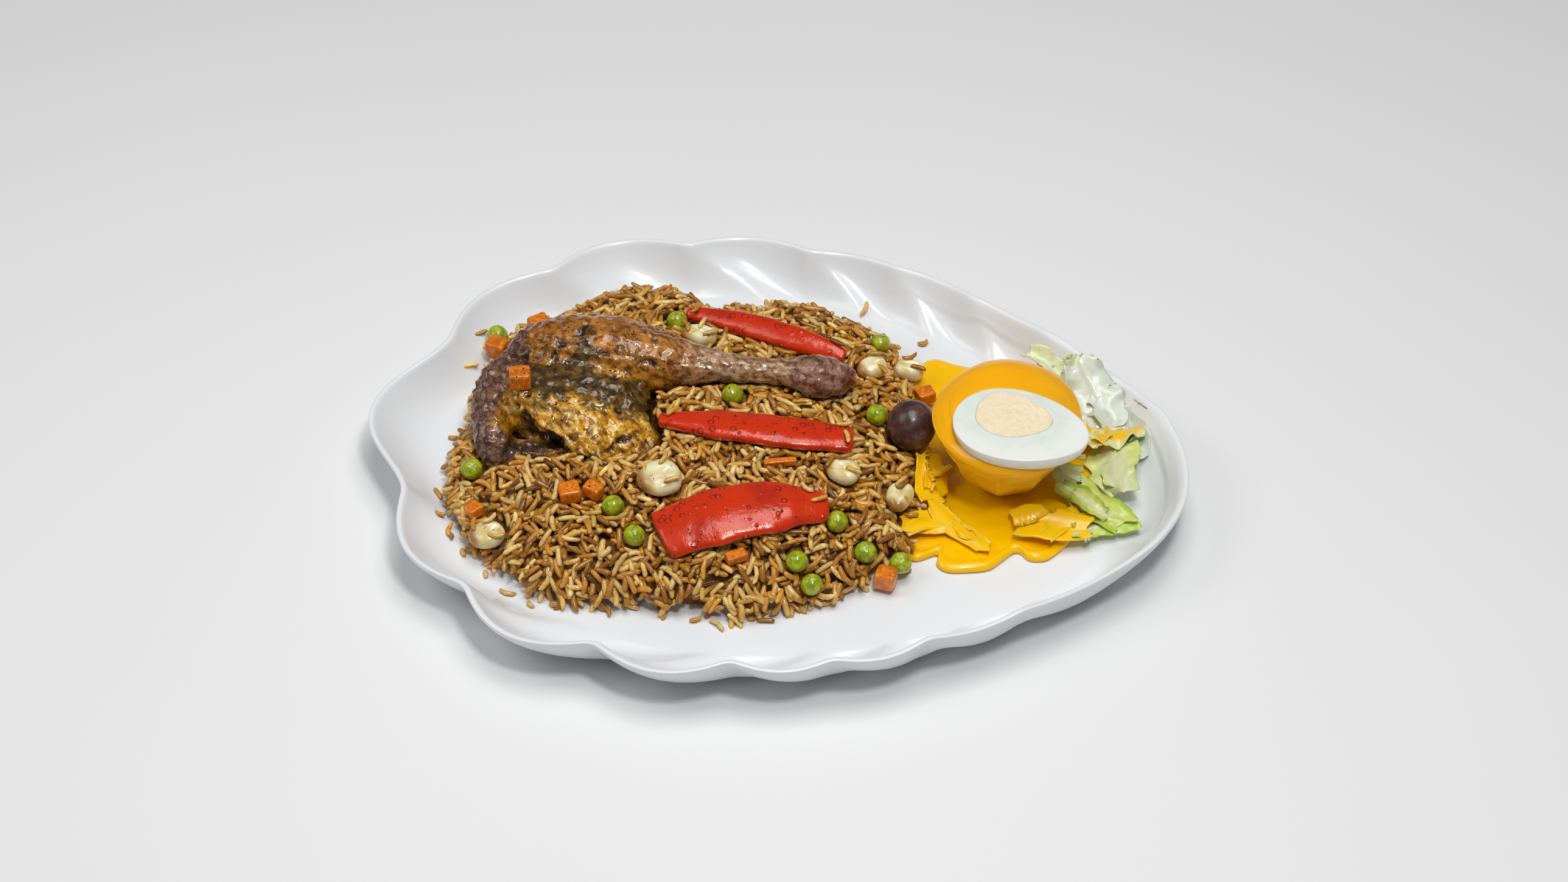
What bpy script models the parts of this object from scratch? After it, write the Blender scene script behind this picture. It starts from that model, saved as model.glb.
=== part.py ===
"""A roast duck leg on rice, with a sauced potato and half an egg, on one white shell-shaped plate.

All sizes below are in millimetres and become metres when a mesh is made. The origin is the middle of
the plate on the table, +X runs to the plate's pointed end and +Z is up. Pieces that carry each other
keep a gap of GAP, so that no two solids share space.
"""

import math

import bmesh
import bpy
import numpy as np
from mathutils import Vector
from mathutils.geometry import delaunay_2d_cdt

MM = 0.001
GAP = 0.35
RNG = np.random.default_rng(41)

# Plate: the rim is drawn by lobes between notches, given for one half and mirrored about X.
LOBE_ANGLES = (0.0, 14.0, 37.0, 54.0, 72.0, 90.5, 114.5, 139.0, 162.0, 180.0)
LOBE_RADII = (174.2, 166.9, 139.9, 129.1, 126.9, 126.9, 136.0, 150.6, 157.4, 174.4)
LOBE_BULGES = (0.0, -2.0, 0.0, 2.1, 2.9, 6.4, 9.7, 9.2, 0.0)
FLOOR_Z, WALL_RISE, WALL_POWER = 8.0, 18.0, 2.2
WALL_MEAN, WALL_TAPER = 26.5, 6.5
SWIRL_DEG, RIDGE_MID, RIDGE_RIM = 18.0, 2.1, 1.0
SHELL, FOOT_TOP, FOOT_HALF = 3.8, 3.4, 2.0
PLATE_STEPS = 62

# Rice heap: radius of its outline every 15 degrees about HEAP_MID, and its dome.
HEAP_MID = (-38.0, 5.0)
HEAP_RADII = (99, 104, 107, 112, 104, 97, 87, 100, 104, 103, 112, 101, 99, 105, 111, 104, 107, 96, 94,
              98, 101, 107, 115, 106)
HEAP_RISE, GRAIN_LONG, GRAIN_PITCH, GRAIN_BUMP = 24.0, 8.4, 8.6, 1.6

# Duck leg: drumstick stations (x, y, z, radius), from the thigh end to the bare knuckle.
DRUMSTICK = (
    (-119, 26, 33, 7.0), (-112, 28, 34.5, 13.0), (-103, 30, 35, 17.0), (-92, 31, 35.5, 19.3),
    (-80, 31, 36, 19.8), (-67.5, 30.6, 37, 18.7), (-55, 30.5, 38, 15.2), (-42.7, 31, 38, 10.8),
    (-31.4, 30.6, 38.5, 7.8), (-18, 29.6, 39, 6.0), (-10, 29.6, 39.5, 5.8), (3, 29.1, 40, 6.4),
    (8, 28.8, 40, 8.2), (14, 28.4, 39.5, 10.2), (22, 29.6, 39, 8.8), (27, 30.6, 38.5, 6.0),
    (30.5, 31.4, 38, 3.4),
)
MEAT_ROLL = ((-117, 24, 35, 6.5), (-121, 12, 36, 8.0), (-121, -2, 34, 8.5), (-118, -15, 31, 8.5),
             (-113, -24, 26, 7.5), (-108, -27, 24, 4.5))
LOWER_LOBE = ((-112, -22, 25, 6.0), (-103, -19, 25, 6.5), (-93, -18, 25, 6.5), (-84, -16, 26, 6.0))
FLAP_TOP = ((-109, 2, 46.5), (-98, 0, 47.5), (-86, -1, 47.0), (-74, 0, 44.5), (-63, 4, 40.5), (-56, 4, 36.5))
FLAP_EDGE = ((-106, -12, 42.5), (-94, -18, 39.5), (-81, -26, 33.5), (-70, -28, 30.5), (-57, -23, 28),
             (-47, -13, 27))
FLAP_THICK = 3.6

# Pepper strips: (x, y, z) along the middle of the strip, half widths there, and the roll in degrees.
PEPPERS = {
    "pepper_back": (((-48, 70.5, 32), (-25, 65, 34.5), (0, 56.5, 36), (24, 49.5, 34)),
                    (2.5, 5.4, 5.8, 3.4), -24),
    "pepper_middle": (((-48.5, -3.8, 37.3), (-26, -3.6, 38.5), (1, -3.6, 38), (33.0, -1.0, 34.2)),
                      (2.8, 8.2, 9.2, 7.8), 2),
    "pepper_front": (((-38.5, -66, 32), (-18, -56, 36.5), (4, -48, 37.5), (27.5, -41.5, 33)),
                     (12.0, 14.0, 13.2, 7.0), -8),
}
PEPPER_THICK = 4.2

# Small pieces: middle (x, y, z) and sizes.
PEA_D = 9.2
PEAS = ((-20.4, 18.0, 35.2), (-51.8, 64.9, 32.2), (-130.9, 57.9, 20.7), (-123.5, -32.1, 26.3),
        (-49.0, -65.3, 29.6), (-60.0, -52.0, 32.2), (31.8, -45.7, 28.8), (44.7, -54.8, 21.9),
        (17.9, -66.4, 24.7), (24.7, -72.6, 18.5), (59.2, -53.4, 16.0), (41.0, 20.0, 28.8),
        (36.7, 74.0, 21.0))
CARROTS = (((-107.3, -2.0, 56.0), (9, 8, 8), 12), ((-112.8, 61.2, 26.4), (9, 7, 7), 40),
           ((-78.8, -47.5, 33.0), (9, 8, 7), 20), ((-69.2, -45.6, 33.9), (8, 6, 6), -25),
           ((53.9, -61.0, 14.4), (9, 8, 8), -12), ((-118.6, -52.5, 22.9), (7, 6, 5), 50),
           ((5.0, -20.3, 35.0), (14, 3, 3), 15), ((-6.6, -69.6, 27.4), (9, 5, 4), 35),
           ((-129.0, 48.7, 22.5), (9, 8, 7), -15), ((59.3, 47.8, 17.0), (8, 7, 6), 30))
CORN = (((-43.3, -37.6, 36.2), (19, 18, 9.5), 30), ((30.9, -19.6, 32.4), (15, 12, 8), -20),
        ((55.1, -22.3, 23.0), (15, 11, 8), 80), ((-111.5, -63.1, 19.6), (15, 13, 8), 30),
        ((-40.1, 53.5, 35.4), (16, 10, 8), -10), ((35.4, 49.2, 28.9), (14, 11, 8), 40),
        ((49.8, 62.2, 18.0), (15, 10, 8), 0))
OLIVE_AT, OLIVE_SIZE = (56.2, 16.5, 28.1), (21.0, 21.5, 22.0)

# Potato piece, its sauce, and the half egg pressed into it.
POTATO_AT, POTATO_HALF, POTATO_TOP, POTATO_BASE = (97.0, 10.5), (28.6, 31.6), 46.0, 11.4
COAT_THICK, COAT_DROP = 2.6, 6.5
EGG_AT, EGG_LONG, EGG_WIDE, EGG_DEEP, EGG_TURN = (102.9, -3.2, 51.8), 57.0, 42.0, 15.0, -10.0
YOLK_OFF, YOLK_D, YOLK_DEEP, YOLK_PROUD = (-4.5, 5.0), (32.0, 26.0), 9.0, 0.4
POOL_TOP = 11.0
POOL = ((52, 66), (59, 79), (70, 77), (84, 75), (105, 73), (119, 66), (126, 56), (133, 50), (136, 38),
        (134, 20), (132, 0), (130, -18), (126, -27), (121, -34), (117, -37.5), (111, -38), (107, -34.5),
        (104, -35), (100, -40), (95, -45.5), (87, -48), (78, -49), (73.5, -45.5), (73, -40), (64, -44.5),
        (57, -38), (52, -22), (51, -2), (51, 30))

# Lettuce: leaves as middle (x, y, z), length, width, turn, tilt along and tilt across, in degrees.
LEAVES = (
    ((112, 60.5, 27), 26, 9, -28, 22, 10), ((121, 63, 24), 20, 8, 60, -24, 15),
    ((131, 50, 24), 32, 24, -62, 30, 10), ((145, 37, 17), 32, 18, -48, 8, -8),
    ((137, 33, 20), 30, 22, 20, 12, -18), ((143, 17, 16), 36, 24, -78, -6, 22),
    ((133, -5, 17.5), 42, 15, -38, 10, 12), ((140, -19, 13.2), 28, 12, 24, 3, 8),
    ((119, -22, 15.5), 32, 18, 4, -6, 12),
)
LEAVES_LEFT = (
    ((66.5, -2, 17), 27, 15, -72, 18, -14), ((68, -26, 14), 24, 14, 28, 6, 12),
    ((80, -27, 13.6), 34, 10, -44, 4, 12),
)
LEAF_THICK = 2.2


def srgb(code):
    """Linear colour with alpha from an sRGB hex code."""
    parts = [int(code[i:i + 2], 16) / 255 for i in (1, 3, 5)]
    return [p / 12.92 if p <= 0.04045 else ((p + 0.055) / 1.055) ** 2.4 for p in parts] + [1.0]


def material(name, code, roughness):
    """A plain Principled material."""
    made = bpy.data.materials.new(name)
    made.use_nodes = True
    made.diffuse_color = srgb(code)
    shader = made.node_tree.nodes["Principled BSDF"]
    shader.inputs["Base Color"].default_value = srgb(code)
    shader.inputs["Roughness"].default_value = roughness
    return made


def add(name, points, faces, slot, smooth=True):
    """One mesh object from points in millimetres."""
    mesh = bpy.data.meshes.new(name)
    mesh.from_pydata((np.asarray(points, float) * MM).tolist(), [], [list(map(int, f)) for f in faces])
    mesh.polygons.foreach_set("use_smooth", [smooth] * len(mesh.polygons))
    mesh.materials.append(slot)
    mesh.validate()
    made = bpy.data.objects.new(name, mesh)
    bpy.context.scene.collection.objects.link(made)
    return made


def lofted(loops):
    """Points and faces of a closed solid through rings of equal count, with a fan at each end."""
    loops = np.asarray(loops, float)
    count, around = loops.shape[:2]
    points = np.vstack([loops.reshape(-1, 3), loops[0].mean(0), loops[-1].mean(0)])
    faces = []
    for i in range(count - 1):
        for j in range(around):
            k = (j + 1) % around
            a, b = i * around, (i + 1) * around
            faces.append((a + j, a + k, b + k, b + j))
    last = (count - 1) * around
    for j in range(around):
        k = (j + 1) % around
        faces.append((count * around, k, j))
        faces.append((count * around + 1, last + j, last + k))
    return points, faces


def outward(made):
    """Turns every face of a closed mesh outwards."""
    work = bmesh.new()
    work.from_mesh(made.data)
    bmesh.ops.recalc_face_normals(work, faces=work.faces)
    work.to_mesh(made.data)
    work.free()
    return made


def baked(made):
    """Replaces the mesh by its evaluated form and clears the modifiers."""
    graph = bpy.context.evaluated_depsgraph_get()
    mesh = bpy.data.meshes.new_from_object(made.evaluated_get(graph))
    old = made.data
    made.modifiers.clear()
    made.data = mesh
    mesh.name = made.name
    bpy.data.meshes.remove(old)
    return made


def joined(made, others):
    """Joins every object of others with one Boolean union, then removes them."""
    group = bpy.data.collections.new("operands")
    for other in others:
        group.objects.link(other)
    step = made.modifiers.new("join", "BOOLEAN")
    step.operation, step.solver = "UNION", "EXACT"
    step.operand_type, step.collection = "COLLECTION", group
    baked(made)
    for other in list(group.objects):
        bpy.data.objects.remove(other)
    bpy.data.collections.remove(group)
    return made


def cut(made, cutters):
    """Takes every cutter away in turn, then removes them."""
    for other in cutters:
        step = made.modifiers.new("cut", "BOOLEAN")
        step.operation, step.solver, step.object = "DIFFERENCE", "MANIFOLD", other
        baked(made)
        bpy.data.objects.remove(other)
    return one_body(made)


def grown(made, by=GAP):
    """A copy with every point moved outwards along its normal, to cut a neighbour with a gap."""
    mesh = made.data.copy()
    copy = bpy.data.objects.new(made.name + "_cut", mesh)
    bpy.context.scene.collection.objects.link(copy)
    points = np.array([v.co for v in mesh.vertices]) + np.array([v.normal for v in mesh.vertices]) * by * MM
    mesh.vertices.foreach_set("co", points.ravel())
    copy.hide_render = True
    copy.display_type = "WIRE"
    return copy


def one_body(made):
    """Keeps the largest connected piece of a mesh."""
    work = bmesh.new()
    work.from_mesh(made.data)
    left, best = set(work.faces), []
    while left:
        found, queue = set(), [left.pop()]
        while queue:
            face = queue.pop()
            found.add(face)
            near = [f for e in face.edges for f in e.link_faces if f in left]
            left.difference_update(near)
            queue.extend(near)
        best.append(found)
    keep = max(best, key=lambda part: sum(f.calc_area() for f in part))
    drop = [f for f in work.faces if f not in keep]
    bmesh.ops.delete(work, geom=drop, context="FACES")
    work.to_mesh(made.data)
    work.free()
    return made


def rim_radius(angle):
    """Radius of the rim at an angle in degrees: a sine lobe between each pair of notches."""
    turned = abs((angle + 180.0) % 360.0 - 180.0)
    i = min(int(np.searchsorted(LOBE_ANGLES, turned, side="right")) - 1, len(LOBE_BULGES) - 1)
    u = (turned - LOBE_ANGLES[i]) / (LOBE_ANGLES[i + 1] - LOBE_ANGLES[i])
    low, high = LOBE_RADII[i], LOBE_RADII[i + 1]
    if i == 0:
        return high + (low - high) * math.cos(math.pi / 2 * u)
    if i == len(LOBE_BULGES) - 1:
        return low + (high - low) * math.sin(math.pi / 2 * u) ** 2
    return low * (1 - u) + high * u + LOBE_BULGES[i] * math.sin(math.pi * u)


def ridge(angle):
    """Height of the scallops at an angle: 1 at a notch, -1 in the middle of a lobe."""
    turned = abs((angle + 180.0) % 360.0 - 180.0)
    i = min(int(np.searchsorted(LOBE_ANGLES, turned, side="right")) - 1, len(LOBE_BULGES) - 1)
    u = (turned - LOBE_ANGLES[i]) / (LOBE_ANGLES[i + 1] - LOBE_ANGLES[i])
    if i == 0:
        return 1 - 2 * math.cos(math.pi / 2 * u)
    if i == len(LOBE_BULGES) - 1:
        return 1 - 2 * math.sin(math.pi / 2 * u)
    return 1 - 2 * math.sin(math.pi * u)


TABLE = np.arange(0.0, 361.0, 1.0)
RIM_TABLE = np.array([np.mean([rim_radius(a + d) for d in (-1.2, 0, 1.2)]) for a in TABLE])
SMOOTH_TABLE = np.array([np.mean([rim_radius(a + d) for d in range(-20, 21, 4)]) for a in TABLE])
RIDGE_TABLE = np.array([np.mean([ridge(a + d) for d in (-2, 0, 2)]) for a in TABLE])


def wall_width(angle):
    """Width of the sloping wall: widest behind the rice and narrowest at the pointed end."""
    return WALL_MEAN - WALL_TAPER * np.cos(np.radians(angle))


def wall_point(angle, w):
    """Radius and height on the inside of the wall, w running from 0 at the floor to 1 at the lip."""
    wide = wall_width(angle)
    inner = np.interp(angle % 360, TABLE, SMOOTH_TABLE) - wide
    outer = np.interp(angle % 360, TABLE, RIM_TABLE) - 2.5
    source = angle + SWIRL_DEG * (1 - w) * np.sin(np.radians(angle))
    swell = RIDGE_MID * np.sin(math.pi * w) + RIDGE_RIM * w
    height = FLOOR_Z + WALL_RISE * w ** WALL_POWER + swell * np.interp(source % 360, TABLE, RIDGE_TABLE)
    return inner + (outer - inner) * w, height


def plate_top(x, y):
    """Height of the plate's upper face at a point."""
    angle = np.degrees(np.arctan2(y, x)) % 360
    inner, _ = wall_point(angle, 0.0)
    outer, _ = wall_point(angle, 1.0)
    w = np.clip((np.hypot(x, y) - inner) / (outer - inner), 0, 1)
    return wall_point(angle, w)[1]


def make_plate(slot):
    """The plate as one closed profile swept round: floor, wall, rolled lip, underside and foot ring."""
    angles = np.arange(PLATE_STEPS) * 360.0 / PLATE_STEPS
    rings = []

    def ring(radius, height):
        rings.append(np.stack([radius * np.cos(np.radians(angles)), radius * np.sin(np.radians(angles)),
                               np.broadcast_to(height, angles.shape)], 1))

    inner, _ = wall_point(angles, 0.0)
    rim = np.interp(angles, TABLE, RIM_TABLE)
    lip_z = wall_point(angles, 1.0)[1]
    ring(inner * 0.5, FLOOR_Z)
    for w in (0.0, 0.18, 0.42, 0.7, 1.0):
        ring(*wall_point(angles, w))
    ring(rim - 1.3, lip_z + 0.5)
    ring(rim, lip_z - 0.6)
    ring(rim - 0.3, lip_z - 2.2)
    for w in (0.9, 0.45):
        radius, height = wall_point(angles, w)
        slope = WALL_RISE * WALL_POWER * w ** (WALL_POWER - 1) / wall_width(angles)
        ring(radius, height - SHELL * np.sqrt(1 + slope ** 2))
    foot = 0.80 * inner
    ring(inner, FOOT_TOP + 0.4)
    ring(foot + FOOT_HALF + 1.2, FOOT_TOP)
    ring(foot + FOOT_HALF, 0.0)
    ring(foot - FOOT_HALF, 0.0)
    ring(foot - FOOT_HALF - 1.2, FOOT_TOP)
    points, faces = lofted(rings)
    return outward(add("plate", points, faces, slot))


def heap_edge(angle):
    """Radius of the rice outline about HEAP_MID at an angle in degrees."""
    return np.interp(np.asarray(angle) % 360, np.arange(25) * 15.0, HEAP_RADII + HEAP_RADII[:1])


def heap_top(x, y):
    """Height of the rice before its grains: a flat-topped dome standing on the plate."""
    dx, dy = x - HEAP_MID[0], y - HEAP_MID[1]
    part = np.clip(np.hypot(dx, dy) / heap_edge(np.degrees(np.arctan2(dy, dx))), 0, 1)
    return plate_top(x, y) * 0.35 + FLOOR_Z * 0.65 + 2.0 + HEAP_RISE * (1 - part ** 4) ** 0.75


def triangulated(points, edges):
    """Constrained Delaunay triangles inside the drawn outline: points, triangles and source indices."""
    found = delaunay_2d_cdt([Vector(p) for p in points], edges, [], 1, 0.001)
    return np.array([tuple(v) for v in found[0]]), [tuple(f) for f in found[2]], found[3]


def make_rice(slot):
    """The heap of rice: a dome whose top carries a ridge the size of a grain on every edge drawn."""
    count = 90
    angles = np.arange(count) * 360.0 / count
    radius = heap_edge(angles) + RNG.uniform(-2.6, 2.4, count)
    edge = np.stack([HEAP_MID[0] + radius * np.cos(np.radians(angles)),
                     HEAP_MID[1] + radius * np.sin(np.radians(angles))], 1)
    tries = RNG.uniform(-120, 120, (30000, 2)) + HEAP_MID
    turns = RNG.uniform(0, math.pi, len(tries))
    rel = tries - HEAP_MID
    inside = np.hypot(*rel.T) < heap_edge(np.degrees(np.arctan2(rel[:, 1], rel[:, 0]))) - 6.5
    kept = np.empty((0, 2))
    plan, links, lift = [tuple(p) for p in edge], [], [0.0] * count
    for at, turn in zip(tries[inside], turns[inside]):
        covered = ((at[0] + 82) / 34) ** 2 + ((at[1] - 10) / 26) ** 2 < 1
        pitch = GRAIN_PITCH * (2.4 if covered else 1.0)
        if len(kept) and np.hypot(*(kept - at).T).min() < pitch:
            continue
        kept = np.vstack([kept, at])
        half = np.array([math.cos(turn), math.sin(turn)]) * GRAIN_LONG * 0.36
        rise = RNG.choice([-GRAIN_BUMP, 0.2, GRAIN_BUMP])
        links.append((len(plan), len(plan) + 1))
        plan += [tuple(at - half), tuple(at + half)]
        lift += [rise + RNG.uniform(-0.5, 0.5), rise + RNG.uniform(-0.5, 0.5)]
    hull = [(i, (i + 1) % count) for i in range(count)]
    top, tris, origin = triangulated(plan, hull + links)
    lifts = np.array([np.mean([lift[k] for k in o]) if o else 0.0 for o in origin])
    rim = np.array([bool(o) and min(o) < count for o in origin])
    high = heap_top(top[:, 0], top[:, 1]) + lifts
    high = np.where(rim, plate_top(top[:, 0], top[:, 1]) + 2.6, high)
    order = [min(o) if o and min(o) < count else -1 for o in origin]
    first = {n: i for i, n in enumerate(order) if n >= 0}

    grid = [(x, y) for x in np.arange(-150, 90, 26.0) for y in np.arange(-110, 125, 26.0)
            if math.hypot(x - HEAP_MID[0], y - HEAP_MID[1])
            < heap_edge(math.degrees(math.atan2(y - HEAP_MID[1], x - HEAP_MID[0]))) - 9]
    low, low_tris, low_origin = triangulated([tuple(p) for p in edge] + grid, hull)
    low_z = plate_top(low[:, 0], low[:, 1]) + 1.2
    low_first = {min(o): i for i, o in enumerate(low_origin) if o and min(o) < count}
    shift = len(top)
    faces = list(tris) + [tuple(shift + i for i in reversed(f)) for f in low_tris]
    for a, b in hull:
        faces.append((first[a], shift + low_first[a], shift + low_first[b]))
        faces.append((first[a], shift + low_first[b], first[b]))
    points = np.vstack([np.column_stack([top, high]), np.column_stack([low, low_z])])
    return outward(add("rice", points, faces, slot, smooth=False))


def tube(path, squash=1.0, around=14):
    """A closed tube through (x, y, z, radius) stations, its underside squashed."""
    path = np.asarray(path, float)
    along = np.gradient(path[:, :3], axis=0)
    along /= np.linalg.norm(along, axis=1)[:, None]
    side = np.cross(along, (0, 0, 1))
    side /= np.linalg.norm(side, axis=1)[:, None]
    up = np.cross(side, along)
    turn = np.arange(around) * 2 * math.pi / around
    drop = np.where(np.sin(turn) < 0, np.sin(turn) * squash, np.sin(turn))
    return lofted([p[:3] + p[3] * (np.cos(turn)[:, None] * s + drop[:, None] * u)
                   for p, s, u in zip(path, side, up)])


def ball(middle, half, rows=8, around=12, power=1.0, turn=0.0):
    """Points and faces of an ellipsoid; power above 1 makes it boxier."""
    c, s = math.cos(math.radians(turn)), math.sin(math.radians(turn))

    def soft(v):
        return np.sign(v) * np.abs(v) ** (1 / power)

    loops = []
    for i in range(rows):
        lat = -math.pi / 2 + math.pi * (i + 0.5) / rows
        a = np.arange(around) * 2 * math.pi / around
        x, y = soft(math.cos(lat)) * soft(np.cos(a)) * half[0], soft(math.cos(lat)) * soft(np.sin(a)) * half[1]
        z = np.full(around, float(soft(np.array(math.sin(lat)))) * half[2])
        loops.append(np.stack([middle[0] + x * c - y * s, middle[1] + x * s + y * c, middle[2] + z], 1))
    points, faces = lofted(loops)
    points[-2, 2], points[-1, 2] = middle[2] - half[2], middle[2] + half[2]
    return points, faces


def make_duck(slot):
    """The leg as one body: drumstick, thigh, meat rolled out of the skin, and the skin's hanging flap."""
    top, edge = np.array(FLAP_TOP, float), np.array(FLAP_EDGE, float)
    sheet = []
    for t in np.linspace(0, 1, 6):
        line = top * (1 - t) + edge * t
        line[:, 2] += 3.2 * math.sin(math.pi * t)
        sheet.append(line)
    sheet = np.array(sheet)
    loops = [np.vstack([sheet[i], sheet[i][::-1] - (0, 0, FLAP_THICK)]) for i in range(len(sheet))]
    pieces = [
        add("duck_leg", *tube(DRUMSTICK, 0.78, 18), slot),
        add("thigh", *ball((-89, 9, 31), (35, 23, 16.5), 10, 18, 1.1), slot),
        add("thigh_low", *ball((-67, -8, 27), (20, 14.5, 9.0), 8, 16), slot),
        add("roll", *tube(MEAT_ROLL, 0.9), slot), add("lobe", *tube(LOWER_LOBE, 0.9), slot),
        add("flap", *lofted(loops), slot),
    ]
    work = bmesh.new()
    for piece in pieces:
        outward(piece)
        work.from_mesh(piece.data)
    work.to_mesh(pieces[0].data)
    work.free()
    for piece in pieces[1:]:
        bpy.data.objects.remove(piece)
    leg = pieces[0]
    voxel = leg.modifiers.new("fuse", "REMESH")
    voxel.mode, voxel.voxel_size = "VOXEL", 0.0015
    soften = leg.modifiers.new("soften", "SMOOTH")
    soften.factor, soften.iterations = 0.5, 3
    baked(leg)
    points = np.array([v.co for v in leg.data.vertices]) / MM
    normals = np.array([v.normal for v in leg.data.vertices])
    waves = np.sin(points @ (0.52, 0.33, 0.41)) * np.sin(points @ (-0.36, 0.61, 0.29) + 1.3)
    points += normals * (0.7 * waves)[:, None]
    leg.data.vertices.foreach_set("co", (points * MM).ravel())
    few = leg.modifiers.new("few", "DECIMATE")
    few.ratio = 1450.0 / (2 * len(leg.data.polygons))
    return one_body(baked(leg))


def make_pepper(name, path, halves, roll, slot):
    """A strip of pepper: skin side up, bowed across its width and along its length."""
    path = np.asarray(path, float)
    knots = np.linspace(0, 1, len(path))
    steps = np.array([0.0, 0.03, 0.12, 0.28, 0.46, 0.64, 0.82, 0.96, 1.0])
    fit = np.stack([np.polyval(np.polyfit(knots, path[:, i], 3), steps) for i in range(3)], 1)
    wide = np.interp(steps, knots, halves) * np.interp(steps, (0, 0.03, 0.96, 1), (0.6, 1, 1, 0.6))
    along = np.gradient(fit, axis=0)
    along /= np.linalg.norm(along, axis=1)[:, None]
    side = np.cross(along, (0, 0, 1))
    side /= np.linalg.norm(side, axis=1)[:, None]
    up = np.cross(side, along)
    c, s = math.cos(math.radians(roll)), math.sin(math.radians(roll))
    side, up = side * c + up * s, up * c - side * s
    loops = []
    for p, w, sd, u in zip(fit, wide, side, up):
        across = np.linspace(-1, 1, 5)
        over = p + w * across[:, None] * sd + (PEPPER_THICK / 2 - 0.16 * w * across ** 2)[:, None] * u
        loops.append(np.vstack([over, (over - PEPPER_THICK * u)[::-1]]))
    return outward(add(name, *lofted(loops), slot))


def make_carrot(name, at, size, turn, slot):
    """A diced piece with softened edges."""
    made = add(name, *ball(at, np.array(size) / 2, 4, 8, 3.0, turn + 45), slot, smooth=False)
    return outward(made)


def seat(made, at, size):
    """The highest point of a mesh under a piece's footprint, in millimetres."""
    graph = bpy.context.evaluated_depsgraph_get()
    found = []
    for dx in np.linspace(-0.45, 0.45, 9) * size[0]:
        for dy in np.linspace(-0.45, 0.45, 9) * size[1]:
            start = Vector(((at[0] + dx) * MM, (at[1] + dy) * MM, 0.2))
            hit, where, _, _ = made.ray_cast(start, Vector((0, 0, -1)), depsgraph=graph)
            found.append(where.z / MM if hit else 0.0)
    return max(found)


def make_potato(slot):
    """The potato piece: a flat round top over a bowl-shaped body that stands on a small flat."""
    around = np.arange(18) * 2 * math.pi / 18
    rows = ((0.42, 0.0), (0.60, 0.10), (0.80, 0.34), (0.96, 0.66), (1.0, 0.88), (0.94, 1.0))
    loops = []
    for share, up in rows:
        lump = 1 + 0.02 * np.sin(3 * around + 5 * up)
        loops.append(np.stack([POTATO_AT[0] + POTATO_HALF[0] * share * lump * np.cos(around),
                               POTATO_AT[1] + POTATO_HALF[1] * share * lump * np.sin(around),
                               np.full(18, POTATO_BASE + (POTATO_TOP - POTATO_BASE) * up)], 1))
    return outward(add("potato", *lofted(loops), slot))


def make_coat(slot):
    """The sauce over the potato: a cap that runs over the edge and ends in a thick uneven lip."""
    around = np.arange(18) * 2 * math.pi / 18
    drop = COAT_DROP + 1.6 * np.sin(3 * around + 0.6) + 1.2 * np.sin(5 * around)
    lump = 1 + 0.02 * np.sin(3 * around + 4.5)

    def ring(extra, height):
        return np.stack([POTATO_AT[0] + (POTATO_HALF[0] * lump + extra) * np.cos(around),
                         POTATO_AT[1] + (POTATO_HALF[1] * lump + extra) * np.sin(around),
                         np.broadcast_to(height, around.shape)], 1)

    top = POTATO_TOP
    loops = [ring(-10, top + GAP), ring(-1.4, top + GAP), ring(GAP + 0.7, top - 1.2),
             ring(GAP + 0.8, top - drop), ring(GAP + 2.5, top - drop + 0.3), ring(3.3, top - 2.0),
             ring(2.2, top + 1.0), ring(-1.5, top + COAT_THICK), ring(-9, top + COAT_THICK + 1.4)]
    return outward(add("sauce_coat", *lofted(loops), slot))


def make_pool(slot):
    """The pool of sauce on the plate: a thin slab with a rounded edge and a blotted outline."""
    ring = np.array(POOL, float)
    ring = np.vstack([ring, ring[:1]])
    fit = ring[:-1]
    middle = np.array([94.0, 10.0])
    loops = []
    for share, up in ((0.5, 0.0), (0.97, 0.0), (1.0, 0.5), (0.97, 0.92), (0.90, 1.0), (0.5, 1.0)):
        plan = middle + (fit - middle) * share
        floor = plate_top(plan[:, 0], plan[:, 1]) + 0.4
        thick = np.maximum(POOL_TOP - floor, 1.1)
        loops.append(np.column_stack([plan, floor + thick * up]))
    return outward(add("sauce_pool", *lofted(loops), slot))


def egg_rings(long, wide, deep, rows, power, around=20):
    """Rings of half an egg, from its cut face down; the pointed end is +X."""
    a = np.arange(around) * 2 * math.pi / around
    blunt = 1 - 0.16 * np.cos(a)
    loops = []
    for share in rows:
        sink = deep * (1 - share ** power) ** (1 / power) if share < 1 else 0.0
        loops.append(np.stack([long / 2 * share * np.cos(a), wide / 2 * share * np.sin(a) * blunt,
                               np.full(around, -sink)], 1))
    return loops


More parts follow.
